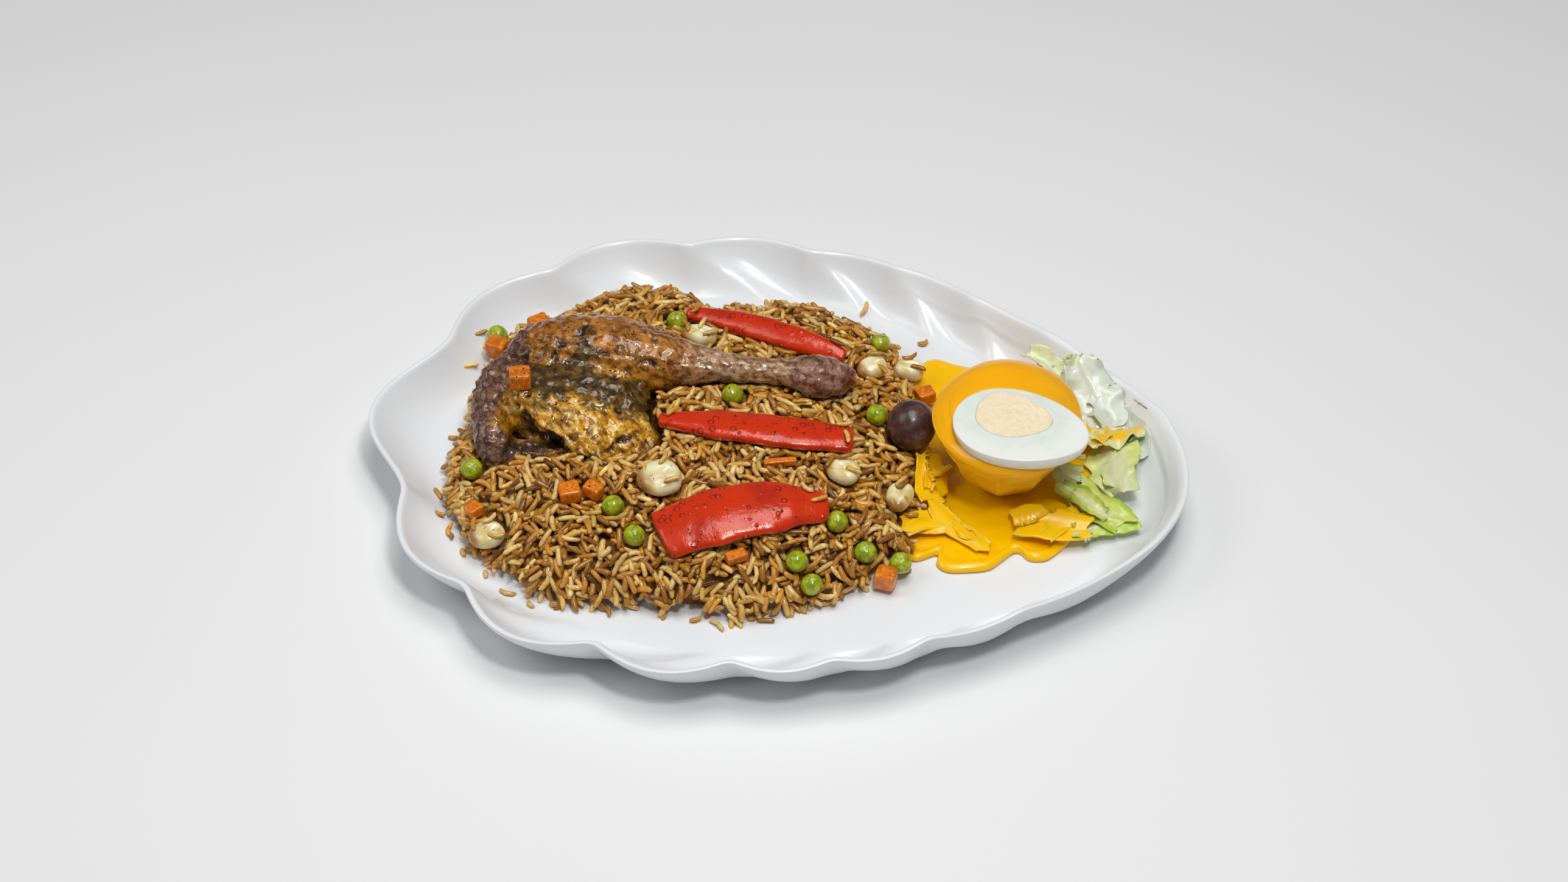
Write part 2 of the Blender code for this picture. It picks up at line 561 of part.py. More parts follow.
def make_egg(white_slot, yolk_slot):
    """Half an egg, cut face up, with its yolk as a separate body set in a matching hollow."""
    def placed(name, loops, off, slot):
        made = add(name, *lofted(loops), slot)
        c, s = math.cos(math.radians(EGG_TURN)), math.sin(math.radians(EGG_TURN))
        points = np.array([v.co for v in made.data.vertices]) / MM + (off[0], off[1], off[2])
        x, y = points[:, 0] * c - points[:, 1] * s, points[:, 0] * s + points[:, 1] * c
        points = np.stack([x, y, points[:, 2]], 1) + EGG_AT
        made.data.vertices.foreach_set("co", (points * MM).ravel())
        return outward(made)

    face = egg_rings(EGG_LONG, EGG_WIDE, EGG_DEEP, (1.0, 0.97, 0.86, 0.66, 0.36), 2.0)
    soft = [ring * (0.985, 0.98, 1) for ring in egg_rings(EGG_LONG, EGG_WIDE, 0, (1.0,), 2.0)]
    white = placed("egg_white", [soft[0] * (0.6, 0.6, 1), soft[0]] + [r - (0, 0, 0.5) for r in face],
                   (0, 0, 0), white_slot)
    dome = egg_rings(YOLK_D[0], YOLK_D[1], YOLK_DEEP, (1.0, 0.9, 0.62), 2.0, 16)
    loops = [dome[0] * (0.9, 0.9, 1) + (0, 0, YOLK_PROUD)] + dome
    yolk = placed("egg_yolk", loops, YOLK_OFF + (0.0,), yolk_slot)
    return cut(white, [grown(yolk, 0.3)]), yolk


def make_leaf(at, long, wide, turn, pitch, roll, slot, seed):
    """A thin wavy leaf: both faces are the same grid of triangles, a leaf's thickness apart."""
    rng = np.random.default_rng(seed)
    nu, nv = 5, 4
    u, v = np.meshgrid(np.linspace(-1, 1, nu), np.linspace(-1, 1, nv), indexing="ij")
    phase = rng.uniform(0, 6, 3)
    taper = 0.62 + 0.38 * np.cos(1.35 * u + 0.4 * math.sin(phase[0]))
    x = u * long / 2 * (1 + 0.10 * np.sin(3 * v + phase[1]))
    y = v * wide / 2 * taper + 1.2 * np.sin(2.4 * u + phase[2])
    z = 1.7 * np.sin(2.6 * u + phase[0]) * (0.4 + np.abs(v)) + 1.2 * np.sin(3.4 * v + phase[1])
    p, r, t = (math.radians(k) for k in (pitch, roll, turn))
    y, z = y * math.cos(r) - z * math.sin(r), y * math.sin(r) + z * math.cos(r)
    x, z = x * math.cos(p) + z * math.sin(p), z * math.cos(p) - x * math.sin(p)
    x, y = x * math.cos(t) - y * math.sin(t) + at[0], x * math.sin(t) + y * math.cos(t) + at[1]
    reach = wall_point(np.degrees(np.arctan2(y, x)), 0.9)[0] / np.hypot(x, y)
    x, y = x * np.minimum(reach, 1), y * np.minimum(reach, 1)
    top = np.stack([x, y, z + at[2]], 2).reshape(-1, 3)
    low = top - (0, 0, LEAF_THICK)
    floor = plate_top(low[:, 0], low[:, 1]) + 1.6
    lift = np.maximum(floor - low[:, 2], 0)
    top[:, 2] += lift
    low[:, 2] += lift
    faces = []
    for i in range(nu - 1):
        for j in range(nv - 1):
            a, b, c, d = i * nv + j, (i + 1) * nv + j, (i + 1) * nv + j + 1, i * nv + j + 1
            faces += [(a, b, c), (a, c, d)]
    count = nu * nv
    under = [tuple(count + k for k in reversed(f)) for f in faces]
    border = ([i * nv for i in range(nu)] + [(nu - 1) * nv + j for j in range(1, nv)]
              + [i * nv + nv - 1 for i in range(nu - 2, -1, -1)] + [j for j in range(nv - 2, 0, -1)])
    sides = []
    for a, b in zip(border, border[1:] + border[:1]):
        sides += [(a, count + a, count + b), (a, count + b, b)]
    return outward(add("leaf", np.vstack([top, low]), faces + under + sides, slot))


def make_lettuce(name, leaves, core, slot, seed):
    """A heap of torn leaves fused on a low core that lies on the plate."""
    at, half = core
    points, faces = ball(at, half, 4, 10)
    points[:, 2] = np.maximum(points[:, 2], plate_top(points[:, 0], points[:, 1]) + 1.4)
    made = outward(add(name, points, faces, slot))
    parts = [make_leaf(*leaf, slot, seed + i) for i, leaf in enumerate(leaves)]
    return joined(made, parts)


def main():
    """Clears the scene and builds every piece."""
    for old in list(bpy.data.objects):
        bpy.data.objects.remove(old)
    slots = {
        "glaze": material("white_glaze", "#F2F2F0", 0.25), "rice": material("rice", "#A98450", 0.5),
        "skin": material("roast_skin", "#8A5A2C", 0.4), "pepper": material("red_pepper", "#B01E14", 0.25),
        "pea": material("pea", "#4F7A1E", 0.35), "carrot": material("carrot", "#CC6A1C", 0.4),
        "corn": material("corn", "#E9DDB4", 0.35), "olive": material("olive", "#3C2A30", 0.3),
        "potato": material("potato", "#E0AE34", 0.5), "sauce": material("yellow_sauce", "#F2AE10", 0.3),
        "white": material("egg_white", "#F4F6F2", 0.35), "yolk": material("egg_yolk", "#F2D6A4", 0.7),
        "leaf": material("lettuce", "#C6D68A", 0.4),
    }
    plate = make_plate(slots["glaze"])
    toppings = [make_duck(slots["skin"])]
    for name, (path, halves, roll) in PEPPERS.items():
        toppings.append(make_pepper(name, path, halves, roll, slots["pepper"]))
    for i, at in enumerate(PEAS):
        half = (PEA_D / 2, PEA_D / 2, PEA_D / 2 * 0.96)
        toppings.append(outward(add(f"pea_{i + 1}", *ball(at, half, 4, 8), slots["pea"])))
    for i, (at, size, turn) in enumerate(CARROTS):
        if i == 0:
            at = at[:2] + (seat(toppings[0], at, size) + size[2] / 2 + GAP,)
        toppings.append(make_carrot(f"carrot_{i + 1}", at, size, turn, slots["carrot"]))
    for i, (at, size, turn) in enumerate(CORN):
        half = np.array(size) / 2
        toppings.append(outward(add(f"corn_{i + 1}", *ball(at, half, 5, 8, 1.25, turn), slots["corn"])))
    olive = outward(add("olive", *ball(OLIVE_AT, np.array(OLIVE_SIZE) / 2, 7, 12), slots["olive"]))
    pool = cut(make_pool(slots["sauce"]), [grown(plate, 0.45)])
    potato, coat = make_potato(slots["potato"]), make_coat(slots["sauce"])
    white, _ = make_egg(slots["white"], slots["yolk"])
    cut(potato, [grown(white)])
    cut(coat, [grown(white)])
    heaps = [
        make_lettuce("lettuce", LEAVES, ((134, 10, 11), (17, 36, 5.5)), slots["leaf"], 7),
        make_lettuce("lettuce_left", LEAVES_LEFT, ((71, -17, 12.2), (9, 17, 3.0)), slots["leaf"], 57),
    ]
    for heap in heaps:
        cut(heap, [grown(o) for o in (pool, potato, coat, white, olive)])
    rice = make_rice(slots["rice"])
    bed = grown(toppings[0], 1.8)
    clean = bed.modifiers.new("clean", "REMESH")
    clean.mode, clean.voxel_size = "VOXEL", 0.0022
    few = bed.modifiers.new("few", "DECIMATE")
    few.ratio = 0.08
    cut(rice, [baked(bed), grown(plate, 0.7)] + [grown(o) for o in toppings[1:] + [olive, pool, heaps[1]]])


main()
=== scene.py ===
"""Roast duck leg on fried rice, with a sauced potato, half an egg and lettuce on one shell-shaped plate.

Sizes are in millimetres and become metres when a mesh is made. +X runs to the plate's pointed end and
+Z is up. Every finished piece sits at the origin with its place in its mesh.
"""

import math

import bmesh
import bpy
import numpy as np
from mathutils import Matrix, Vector
from mathutils.bvhtree import BVHTree


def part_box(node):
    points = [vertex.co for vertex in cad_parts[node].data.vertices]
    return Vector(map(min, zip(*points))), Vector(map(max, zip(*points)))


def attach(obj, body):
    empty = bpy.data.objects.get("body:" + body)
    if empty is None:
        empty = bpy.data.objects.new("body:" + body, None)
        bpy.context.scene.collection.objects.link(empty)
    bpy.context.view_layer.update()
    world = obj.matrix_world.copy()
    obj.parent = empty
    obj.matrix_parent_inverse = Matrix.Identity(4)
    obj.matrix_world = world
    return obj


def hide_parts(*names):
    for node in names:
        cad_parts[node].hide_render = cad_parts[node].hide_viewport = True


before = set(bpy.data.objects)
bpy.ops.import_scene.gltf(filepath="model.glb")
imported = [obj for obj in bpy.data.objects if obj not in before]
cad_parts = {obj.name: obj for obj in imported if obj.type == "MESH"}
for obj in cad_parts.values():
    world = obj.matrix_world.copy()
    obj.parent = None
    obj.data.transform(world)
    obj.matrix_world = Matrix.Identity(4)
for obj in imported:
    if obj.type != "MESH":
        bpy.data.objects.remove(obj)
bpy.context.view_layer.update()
MM = 0.001
TAU = 2 * math.pi

# ---------------------------------------------------------------- the sizes that the solids have
# The plate's rim: direction of each notch in degrees, its radius, and how far the lobe after it swells.
LOBE_ANGLES = np.array([0.0, 14.0, 37.0, 54.0, 72.0, 90.5, 114.5, 139.0, 162.0, 180.0])
LOBE_RADII = np.array([174.2, 166.9, 139.9, 129.1, 126.9, 126.9, 136.0, 150.6, 157.4, 174.4])
LOBE_BULGES = np.array([0.0, -2.0, 0.0, 2.1, 2.9, 6.4, 9.7, 9.2, 0.0])
FLOOR_Z, WALL_RISE, WALL_POWER = 8.0, 18.0, 2.2
WALL_MEAN, WALL_TAPER = 26.5, 6.5
SWIRL_DEG, RIDGE_MID, RIDGE_RIM = 18.0, 2.1, 1.0
SHELL, LIP, FOOT_SHARE, FOOT_TOP = 3.8, 2.5, 0.80, 3.4

# The rice: middle in plan, and the radius of its outline every 15 degrees.
HEAP_MID = np.array([-38.0, 5.0])
HEAP_RADII = (99, 104, 107, 112, 104, 97, 87, 100, 104, 103, 112, 101, 99, 105, 111, 104, 107, 96, 94,
              98, 101, 107, 115, 106)

# The duck leg. Tubes run through stations of x, y, z and radius, and the flap between its two edges.
DRUMSTICK = (
    (-119, 26, 33, 7.0), (-112, 28, 34.5, 13.0), (-103, 30, 35, 17.0), (-92, 31, 35.5, 19.3),
    (-80, 31, 36, 19.8), (-67.5, 30.6, 37, 18.7), (-55, 30.5, 38, 15.2), (-42.7, 31, 38, 10.8),
    (-31.4, 30.6, 38.5, 7.8), (-18, 29.6, 39, 6.0), (-10, 29.6, 39.5, 5.8), (3, 29.1, 40, 6.4),
    (8, 28.8, 40, 8.2), (14, 28.4, 39.5, 10.2), (22, 29.6, 39, 8.8), (27, 30.6, 38.5, 6.0),
    (30.5, 31.4, 38, 3.4),
)
MEAT_ROLL = ((-117, 24, 35, 6.5), (-121, 12, 36, 8.0), (-121, -2, 34, 8.5), (-118, -15, 31, 8.5),
             (-113, -24, 26, 7.5), (-108, -27, 24, 4.5))
LOWER_LOBE = ((-112, -22, 25, 6.0), (-103, -19, 25, 6.5), (-93, -18, 25, 6.5), (-84, -16, 26, 6.0))
FLAP_TOP = ((-109, 2, 46.5), (-98, 0, 47.5), (-86, -1, 47.0), (-74, 0, 44.5), (-63, 4, 40.5), (-56, 4, 36.5))
FLAP_EDGE = ((-106, -12, 42.5), (-94, -18, 39.5), (-81, -26, 33.5), (-70, -28, 30.5), (-57, -23, 28),
             (-47, -13, 27))
FLAP_THICK = 3.6
# Spots of herb crust on the skin: how dense, place in plan, reach.
CRUST = ((1.0, -106, 9, 7), (0.8, -116, 22, 6), (0.95, -96, 2, 7), (1.1, -82, 5, 6), (1.1, -68, 4, 6),
         (0.9, -55, 7, 6), (0.6, -84, 19, 5), (0.5, -88, 9, 6))

# Each pepper strip: points of its path, half widths along it, and roll in degrees.
PEPPERS = (
    (((-48, 70.5, 32), (-25, 65, 34.5), (0, 56.5, 36), (24, 49.5, 34)), (2.5, 5.4, 5.8, 3.4), -24),
    (((-48.5, -3.8, 37.3), (-26, -3.6, 38.5), (1, -3.6, 38), (33.0, -1.0, 34.2)), (2.8, 8.2, 9.2, 7.8), 2),
    (((-38.5, -66, 32), (-18, -56, 36.5), (4, -48, 37.5), (27.5, -41.5, 33)), (12.0, 14.0, 13.2, 7.0), -8),
)
PEPPER_THICK = 4.2
PEA_D = 9.2
# Middles of the peas; length, width, height and turn in degrees of each carrot block; and for the corn
# middle, size and turn in degrees.
PEAS = ((-20.4, 18.0, 35.2), (-51.8, 64.9, 32.2), (-130.9, 57.9, 20.7), (-123.5, -32.1, 26.3),
        (-49.0, -65.3, 29.6), (-60.0, -52.0, 32.2), (31.8, -45.7, 28.8), (44.7, -54.8, 21.9),
        (17.9, -66.4, 24.7), (24.7, -72.6, 18.5), (59.2, -53.4, 16.0), (41.0, 20.0, 28.8),
        (36.7, 74.0, 21.0))
CARROT_SIZES = ((9, 8, 8, 12), (9, 7, 7, 40), (9, 8, 7, 20), (8, 6, 6, -25), (9, 8, 8, -12),
                (7, 6, 5, 50), (14, 3, 3, 15), (9, 5, 4, 35), (9, 8, 7, -15), (8, 7, 6, 30))
CORN = (((-43.3, -37.6, 36.2), (19, 18, 9.5), 30), ((30.9, -19.6, 32.4), (15, 12, 8), -20),
        ((55.1, -22.3, 23.0), (15, 11, 8), 80), ((-111.5, -63.1, 19.6), (15, 13, 8), 30),
        ((-40.1, 53.5, 35.4), (16, 10, 8), -10), ((35.4, 49.2, 28.9), (14, 11, 8), 40),
        ((49.8, 62.2, 18.0), (15, 10, 8), 0))
OLIVE_AT, OLIVE_SIZE = np.array([56.2, 16.5, 28.1]), np.array([21.0, 21.5, 22.0])

# The potato, the sauce on it, the egg, its yolk and the pool: places, sizes and outline.
POTATO_AT, POTATO_HALF, POTATO_TOP, POTATO_BASE = (97.0, 10.5), (28.6, 31.6), 46.0, 11.4
POTATO_FLATS = 9
COAT_THICK, COAT_DROP, COAT_DOME, COAT_FALL = 2.6, 6.5, 1.6, 4.6
HUMP_HIGH, HUMP_WAY, HUMP_WIDE = 2.4, 2.0, 0.6  # a swell of the coat behind the egg, by direction in radians
EGG_AT, EGG_LONG, EGG_WIDE, EGG_DEEP, EGG_TURN = np.array([102.9, -3.2, 51.8]), 57.0, 42.0, 15.0, -10.0
EGG_BLUNT, EGG_RIM = 0.16, 0.5
YOLK_OFF, YOLK_D, YOLK_PROUD = (-4.5, 5.0), (32.0, 26.0), 0.4
POOL_TOP = 11.0
POOL = ((52, 66), (59, 79), (70, 77), (84, 75), (105, 73), (119, 66), (126, 56), (133, 50), (136, 38),
        (134, 20), (132, 0), (130, -18), (126, -27), (121, -34), (117, -37.5), (111, -38), (107, -34.5),
        (104, -35), (100, -40), (95, -45.5), (87, -48), (78, -49), (73.5, -45.5), (73, -40), (64, -44.5),
        (57, -38), (52, -22), (51, -2), (51, 30))

# Torn lettuce: middle (x, y, z), length, width, turn, tilt along and across in degrees, how green, how
# much sauce lies on it.
LEAVES = (
    ((112, 60.5, 27), 26, 9, -28, 22, 10, 0.10, 0.0), ((121, 63, 24), 20, 8, 60, -24, 15, 0.10, 0.0),
    ((131, 50, 24), 32, 24, -62, 30, 10, 0.05, 0.0), ((145, 37, 17), 32, 18, -48, 8, -8, 0.0, 0.0),
    ((137, 33, 20), 30, 22, 20, 12, -18, 0.35, 0.35), ((143, 17, 16), 36, 24, -78, -6, 22, 0.55, 0.0),
    ((133, -5, 17.5), 42, 15, -38, 10, 12, 0.80, 0.0), ((140, -19, 13.2), 28, 12, 24, 3, 8, 1.0, 0.0),
    ((119, -22, 15.5), 32, 18, 4, -6, 12, 0.85, 0.9),
)
LEAVES_LEFT = (
    ((66.5, -2, 17), 27, 15, -72, 18, -14, 0.4, 1.0), ((68, -26, 14), 24, 14, 28, 6, 12, 0.4, 0.85),
    ((80, -27, 13.6), 34, 10, -44, 4, 12, 0.35, 0.55),
)


# ---------------------------------------------------------------- colour, noise and mesh helpers
def linear(code):
    """Linear colour with alpha from an sRGB hex code."""
    parts = [int(code[i:i + 2], 16) / 255 for i in (1, 3, 5)]
    return [p / 12.92 if p <= 0.04045 else ((p + 0.055) / 1.055) ** 2.4 for p in parts] + [1.0]


def rgb(code):
    """The same colour as an array of three."""
    return np.array(linear(code)[:3])


def ease(low, high, value):
    """0 below low, 1 above high, and a smooth step between."""
    t = np.clip((np.asarray(value, float) - low) / (high - low), 0, 1)
    return t * t * (3 - 2 * t)


def blend(a, b, share):
    """Each row of a moved towards b by its share."""
    share = np.asarray(share)[..., None]
    return a * (1 - share) + b * share


def stained(points, base, *coats):
    """A colour for each point: a first code, with each further (colour, share) laid over it in turn."""
    tone = np.broadcast_to(rgb(base), points.shape)
    for colour, share in coats:
        tone = blend(tone, rgb(colour) if isinstance(colour, str) else colour, share)
    return tone


def turned(a, b, angle):
    """A pair of coordinates turned by an angle in radians."""
    c, s = math.cos(angle), math.sin(angle)
    return a * c - b * s, a * s + b * c


LEAN = np.array([[0.64, -0.48, 0.60], [0.60, 0.80, 0.0], [-0.48, 0.36, 0.80]])


def noise(points, size, seed=0):
    """Smooth noise from about -1 to 1: a random slope at each corner of a leaning lattice of that pitch, the
    eight planes eased into each other."""
    slope = np.random.default_rng(seed).normal(size=(32, 32, 32, 3))
    slope /= np.linalg.norm(slope, axis=-1)[..., None]
    p = np.asarray(points, float) @ LEAN.T / size + 0.37 * seed
    cell = np.floor(p).astype(int)
    f = p - cell
    e = f ** 3 * (f * (6 * f - 15) + 10)
    total = 0.0
    for corner in np.ndindex(2, 2, 2):
        where = (cell + corner) % 32
        weight = np.where(corner, e, 1 - e).prod(-1)
        total = total + weight * ((f - corner) * slope[tuple(np.moveaxis(where, -1, 0))]).sum(-1)
    return total * 1.9


def flat_noise(plan, size, seed):
    """The same noise for points in plan."""
    return noise(np.column_stack([plan, np.zeros(len(plan))]), size, seed)


def bell(value, middle, wide):
    """A bell curve, 1 at its middle and about a third at that width from it."""
    return np.exp(-((value - middle) / wide) ** 2)


def creases(points, size, seed=0):
    """Folded noise from 0 to 1: one less the size of smooth noise, so that it peaks along thin lines."""
    return 1 - np.abs(noise(points, size, seed)) * 1.6


def mesh_of(name, points, *groups):
    """A smooth mesh object from points in millimetres and arrays of faces, each of one corner count."""
    mesh = bpy.data.meshes.new(name)
    groups = [np.asarray(g, np.int32) for g in groups if len(g)]
    sizes = np.concatenate([np.full(len(g), g.shape[1]) for g in groups])
    mesh.vertices.add(len(points))
    mesh.vertices.foreach_set("co", (np.asarray(points, float) * MM).astype(np.float32).ravel())
    corners = np.concatenate([g.ravel() for g in groups])
    mesh.loops.add(len(corners))
    mesh.loops.foreach_set("vertex_index", corners)
    mesh.polygons.add(len(sizes))
    mesh.polygons.foreach_set("loop_start", np.concatenate([[0], np.cumsum(sizes)[:-1]]).astype(np.int32))
    mesh.polygons.foreach_set("use_smooth", np.ones(len(sizes), bool))
    mesh.update(calc_edges=True)
    mesh.validate()
    made = bpy.data.objects.new(name, mesh)
    bpy.context.scene.collection.objects.link(made)
    return made


def ring_faces(rows, around):
    """Quads between closed rings, and a fan at each end onto the two points that follow the rings."""
    i, j = np.meshgrid(np.arange(rows - 1), np.arange(around), indexing="ij")
    k = (j + 1) % around
    quads = np.stack([i * around + j, i * around + k, (i + 1) * around + k, (i + 1) * around + j], -1)
    j = np.arange(around)
    k, last, pole = (j + 1) % around, (rows - 1) * around, rows * around
    fans = np.vstack([np.stack([np.full(around, pole), k, j], 1),
                      np.stack([np.full(around, pole + 1), last + j, last + k], 1)])
    return quads.reshape(-1, 4), fans


def closed_rings(rings):
    """Points and faces of a closed body through rings of equal count, its ends closed at their means."""
    rings = np.asarray(rings, float)
    rows, around = rings.shape[:2]
    points = np.vstack([rings.reshape(-1, 3), rings[0].mean(0), rings[-1].mean(0)])
    return (points,) + ring_faces(rows, around)


def ringed(name, rings):
    """A closed mesh through rings, its faces outward."""
    return outward(mesh_of(name, *closed_rings(rings)))


def softened(rings, times):
    """Cuts the corners of a profile: each step puts two rings a quarter in from the ends of every span."""
    rings = np.asarray(rings, float)
    for _ in range(times):
        near = rings[:-1] * 0.75 + rings[1:] * 0.25
        far = rings[:-1] * 0.25 + rings[1:] * 0.75
        cut = np.stack([near, far], 1).reshape(-1, *rings.shape[1:])
        rings = np.concatenate([rings[:1], cut, rings[-1:]])
    return rings


def piled(shapes):
    """Joins several (points, quads, triangles) into one set of arrays."""
    points, quads, tris, shift = [], [], [], 0
    for p, q, t in shapes:
        points.append(p)
        quads.append(np.asarray(q) + shift)
        tris.append(np.asarray(t) + shift)
        shift += len(p)
    return np.vstack(points), np.vstack(quads), np.vstack(tris)


def outward(made):
    """Turns every face of a closed mesh outwards."""
    work = bmesh.new()
    work.from_mesh(made.data)
    bmesh.ops.recalc_face_normals(work, faces=work.faces)
    work.to_mesh(made.data)
    work.free()
    return made


def rows_of(made, kind, name):
    """Three numbers for each vertex as an array."""
    found = np.empty(len(made.data.vertices) * 3, np.float32)
    getattr(made.data, kind).foreach_get(name, found)
    return found.reshape(-1, 3).astype(float)


def places_of(made):
    """Vertex places in millimetres as an array."""
    return rows_of(made, "vertices", "co") / MM


def move_to(made, points):
    """Writes vertex places given in millimetres."""
    made.data.vertices.foreach_set("co", (points * MM).astype(np.float32).ravel())
    made.data.update()


def tint(made, colours, name="Tint"):
    """Stores a linear colour for each vertex."""
    layer = made.data.color_attributes.new(name, "FLOAT_COLOR", "POINT")
    full = np.ones((len(made.data.vertices), 4), np.float32)
    full[:, :3] = np.clip(colours, 0, 1)
    layer.data.foreach_set("color", full.ravel())
    return made


def grade(made, name, values):
    """Stores one number for each vertex."""
    layer = made.data.attributes.new(name, "FLOAT", "POINT")
    layer.data.foreach_set("value", np.asarray(values, np.float32))
    return made


def served(made, material, slot, *nodes):
    """Gives a piece its material, its body and the solids it stands for; the slot is not used."""
    made.data.materials.clear()
    made.data.materials.append(material)
    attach(made, "root")
    if nodes:
        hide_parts(*nodes)
    return made


# ---------------------------------------------------------------- materials
def put(tree, kind, links=None, stops=None, **settings):
    """Adds one node: settings are its properties, links fills its inputs, stops fills its colour ramp."""
    made = tree.nodes.new(kind)
    for key, value in settings.items():
        setattr(made, key, value)
    for key, value in (links or {}).items():
        if isinstance(value, bpy.types.NodeSocket):
            tree.links.new(value, made.inputs[key])
        else:
            made.inputs[key].default_value = value
    if stops:
        band = made.color_ramp.elements
        band[0].position, band[0].color = stops[0]
        band[1].position, band[1].color = stops[-1]
        for at, colour in stops[1:-1]:
            band.new(at).color = colour
    return made


class Look:
    """A material in the making. Colours are sRGB codes or sockets, and sizes are in millimetres."""

    def __init__(self, name, rough, ior, coat=(0.0, 0.03), under=(0.0, 50.0, (1.0, 0.2, 0.1)), **constants):
        """A new material with constants on its shader's own sockets: coat is the weight and roughness of the
        clear coat, under is the weight, reach and colour of the light that passes under the surface."""
        constants.update(Roughness=rough, IOR=ior, Coat_Weight=coat[0], Coat_Roughness=coat[1],
                         Subsurface_Weight=under[0], Subsurface_Scale=under[1] * MM,
                         Subsurface_Radius=under[2])
        self.made = bpy.data.materials.new(name)
        self.made.use_nodes = True
        self.tree = self.made.node_tree
        self.shader = self.tree.nodes["Principled BSDF"]
        for key, value in constants.items():
            self.shader.inputs[key.replace("_", " ")].default_value = value
        self.place = put(self.tree, "ShaderNodeTexCoord").outputs["Object"]

    def done(self, **sockets):
        """Links the shader's sockets and gives the finished material."""
        for key, value in sockets.items():
            self.tree.links.new(value, self.shader.inputs[key.replace("_", " ")])
        return self.made

    def stored(self, name, kind="Color"):
        """A colour or, with the kind Fac, a number that is stored on the mesh."""
        return put(self.tree, "ShaderNodeAttribute", attribute_name=name).outputs[kind]

    def grain(self, size, detail=3.0, rough=0.55, stretch=None, place=None):
        """Noise with features of a size, longer along an axis where stretch is below 1."""
        place = self.place if place is None else place
        if stretch:
            place = put(self.tree, "ShaderNodeMapping", {"Vector": place, "Scale": stretch}).outputs[0]
        links = {"Vector": place, "Scale": 1 / MM / size, "Detail": detail, "Roughness": rough}
        return put(self.tree, "ShaderNodeTexNoise", links).outputs["Fac"]

    def spread(self, value, low, high, to_low=0.0, to_high=1.0):
        """Maps a value smoothly from one range to another."""
        links = {"Value": value, "From Min": low, "From Max": high, "To Min": to_low, "To Max": to_high}
        return put(self.tree, "ShaderNodeMapRange", links, interpolation_type="SMOOTHSTEP").outputs[0]

    def mix(self, share, a, b, way="MIX"):
        """Blends two colours."""
        a, b = (linear(colour) if isinstance(colour, str) else colour for colour in (a, b))
        return put(self.tree, "ShaderNodeMix", {0: share, 6: a, 7: b}, data_type="RGBA",
                   blend_type=way).outputs[2]

    def veil(self, under, over, value, low, high, most=1.0, way="MIX"):
        """Lays one colour over another where a value passes from low to high."""
        return self.mix(self.spread(value, low, high, 0.0, most), under, over, way)

    def bands(self, value, *stops):
        """A colour ramp through (place, code) stops."""
        stops = [(at, linear(code)) for at, code in stops]
        return put(self.tree, "ShaderNodeValToRGB", {"Fac": value}, stops=stops).outputs[0]

    def reckon(self, way, a, b):
        """Sum, difference or product of two values."""
        return put(self.tree, "ShaderNodeMath", {0: a, 1: b}, operation=way).outputs[0]

    def bump(self, height, deep, under=None):
        """A bump of that depth, over another bump where one is given."""
        links = {"Height": height, "Distance": deep * MM, "Strength": 1.0}
        if under is not None:
            links["Normal"] = under
        return put(self.tree, "ShaderNodeBump", links).outputs[0]


def glazed_china():
    """White glazed china: a satin sheen on a cool white body, faintly clouded and slightly uneven."""
    look = Look("glazed_china", 0.3, 1.5, coat=(0.25, 0.14))
    cloud = look.grain(60, 2.0)
    tone = look.mix(cloud, "#E6E9EC", "#EEF1F4")
    tone = look.veil(tone, "#D8D4CC", look.grain(2.2, 2.0), 0.70, 0.78, 0.12)
    return look.done(Base_Color=tone, Roughness=look.spread(cloud, 0.3, 0.7, 0.26, 0.36),
                     Normal=look.bump(look.grain(16, 2.0), 0.10))


def cooked_rice(name):
    """Oily cooked rice: each grain its own stain of stock, a waxy sheen, fine ribs and darker wet patches."""
    look = Look(name, 0.35, 1.4, coat=(0.4, 0.12), under=(0.3, 1.4, (1.0, 0.62, 0.22)))
    own = look.stored("Tint")
    tone = look.veil(own, "#C8964C", look.grain(3.4), 0.35, 0.7, way="MULTIPLY")
    return look.done(Base_Color=look.mix(0.55, own, tone),
                     Roughness=look.spread(look.grain(5.0), 0.3, 0.7, 0.20, 0.42),
                     Normal=look.bump(look.grain(0.7, 2.0), 0.10))


def dark_core():
    """The depth of the heap seen between the grains on top: brown like stock and broken grain, and painted
    darker than the grains as the shade between them.
    """
    look = Look("rice_depth", 0.55, 1.4)
    tone = look.bands(look.grain(3.2, 4.0), (0.32, "#6A4416"), (0.5, "#946428"), (0.68, "#B4863C"))
    return look.done(Base_Color=tone, Normal=look.bump(look.grain(2.4), 1.2))


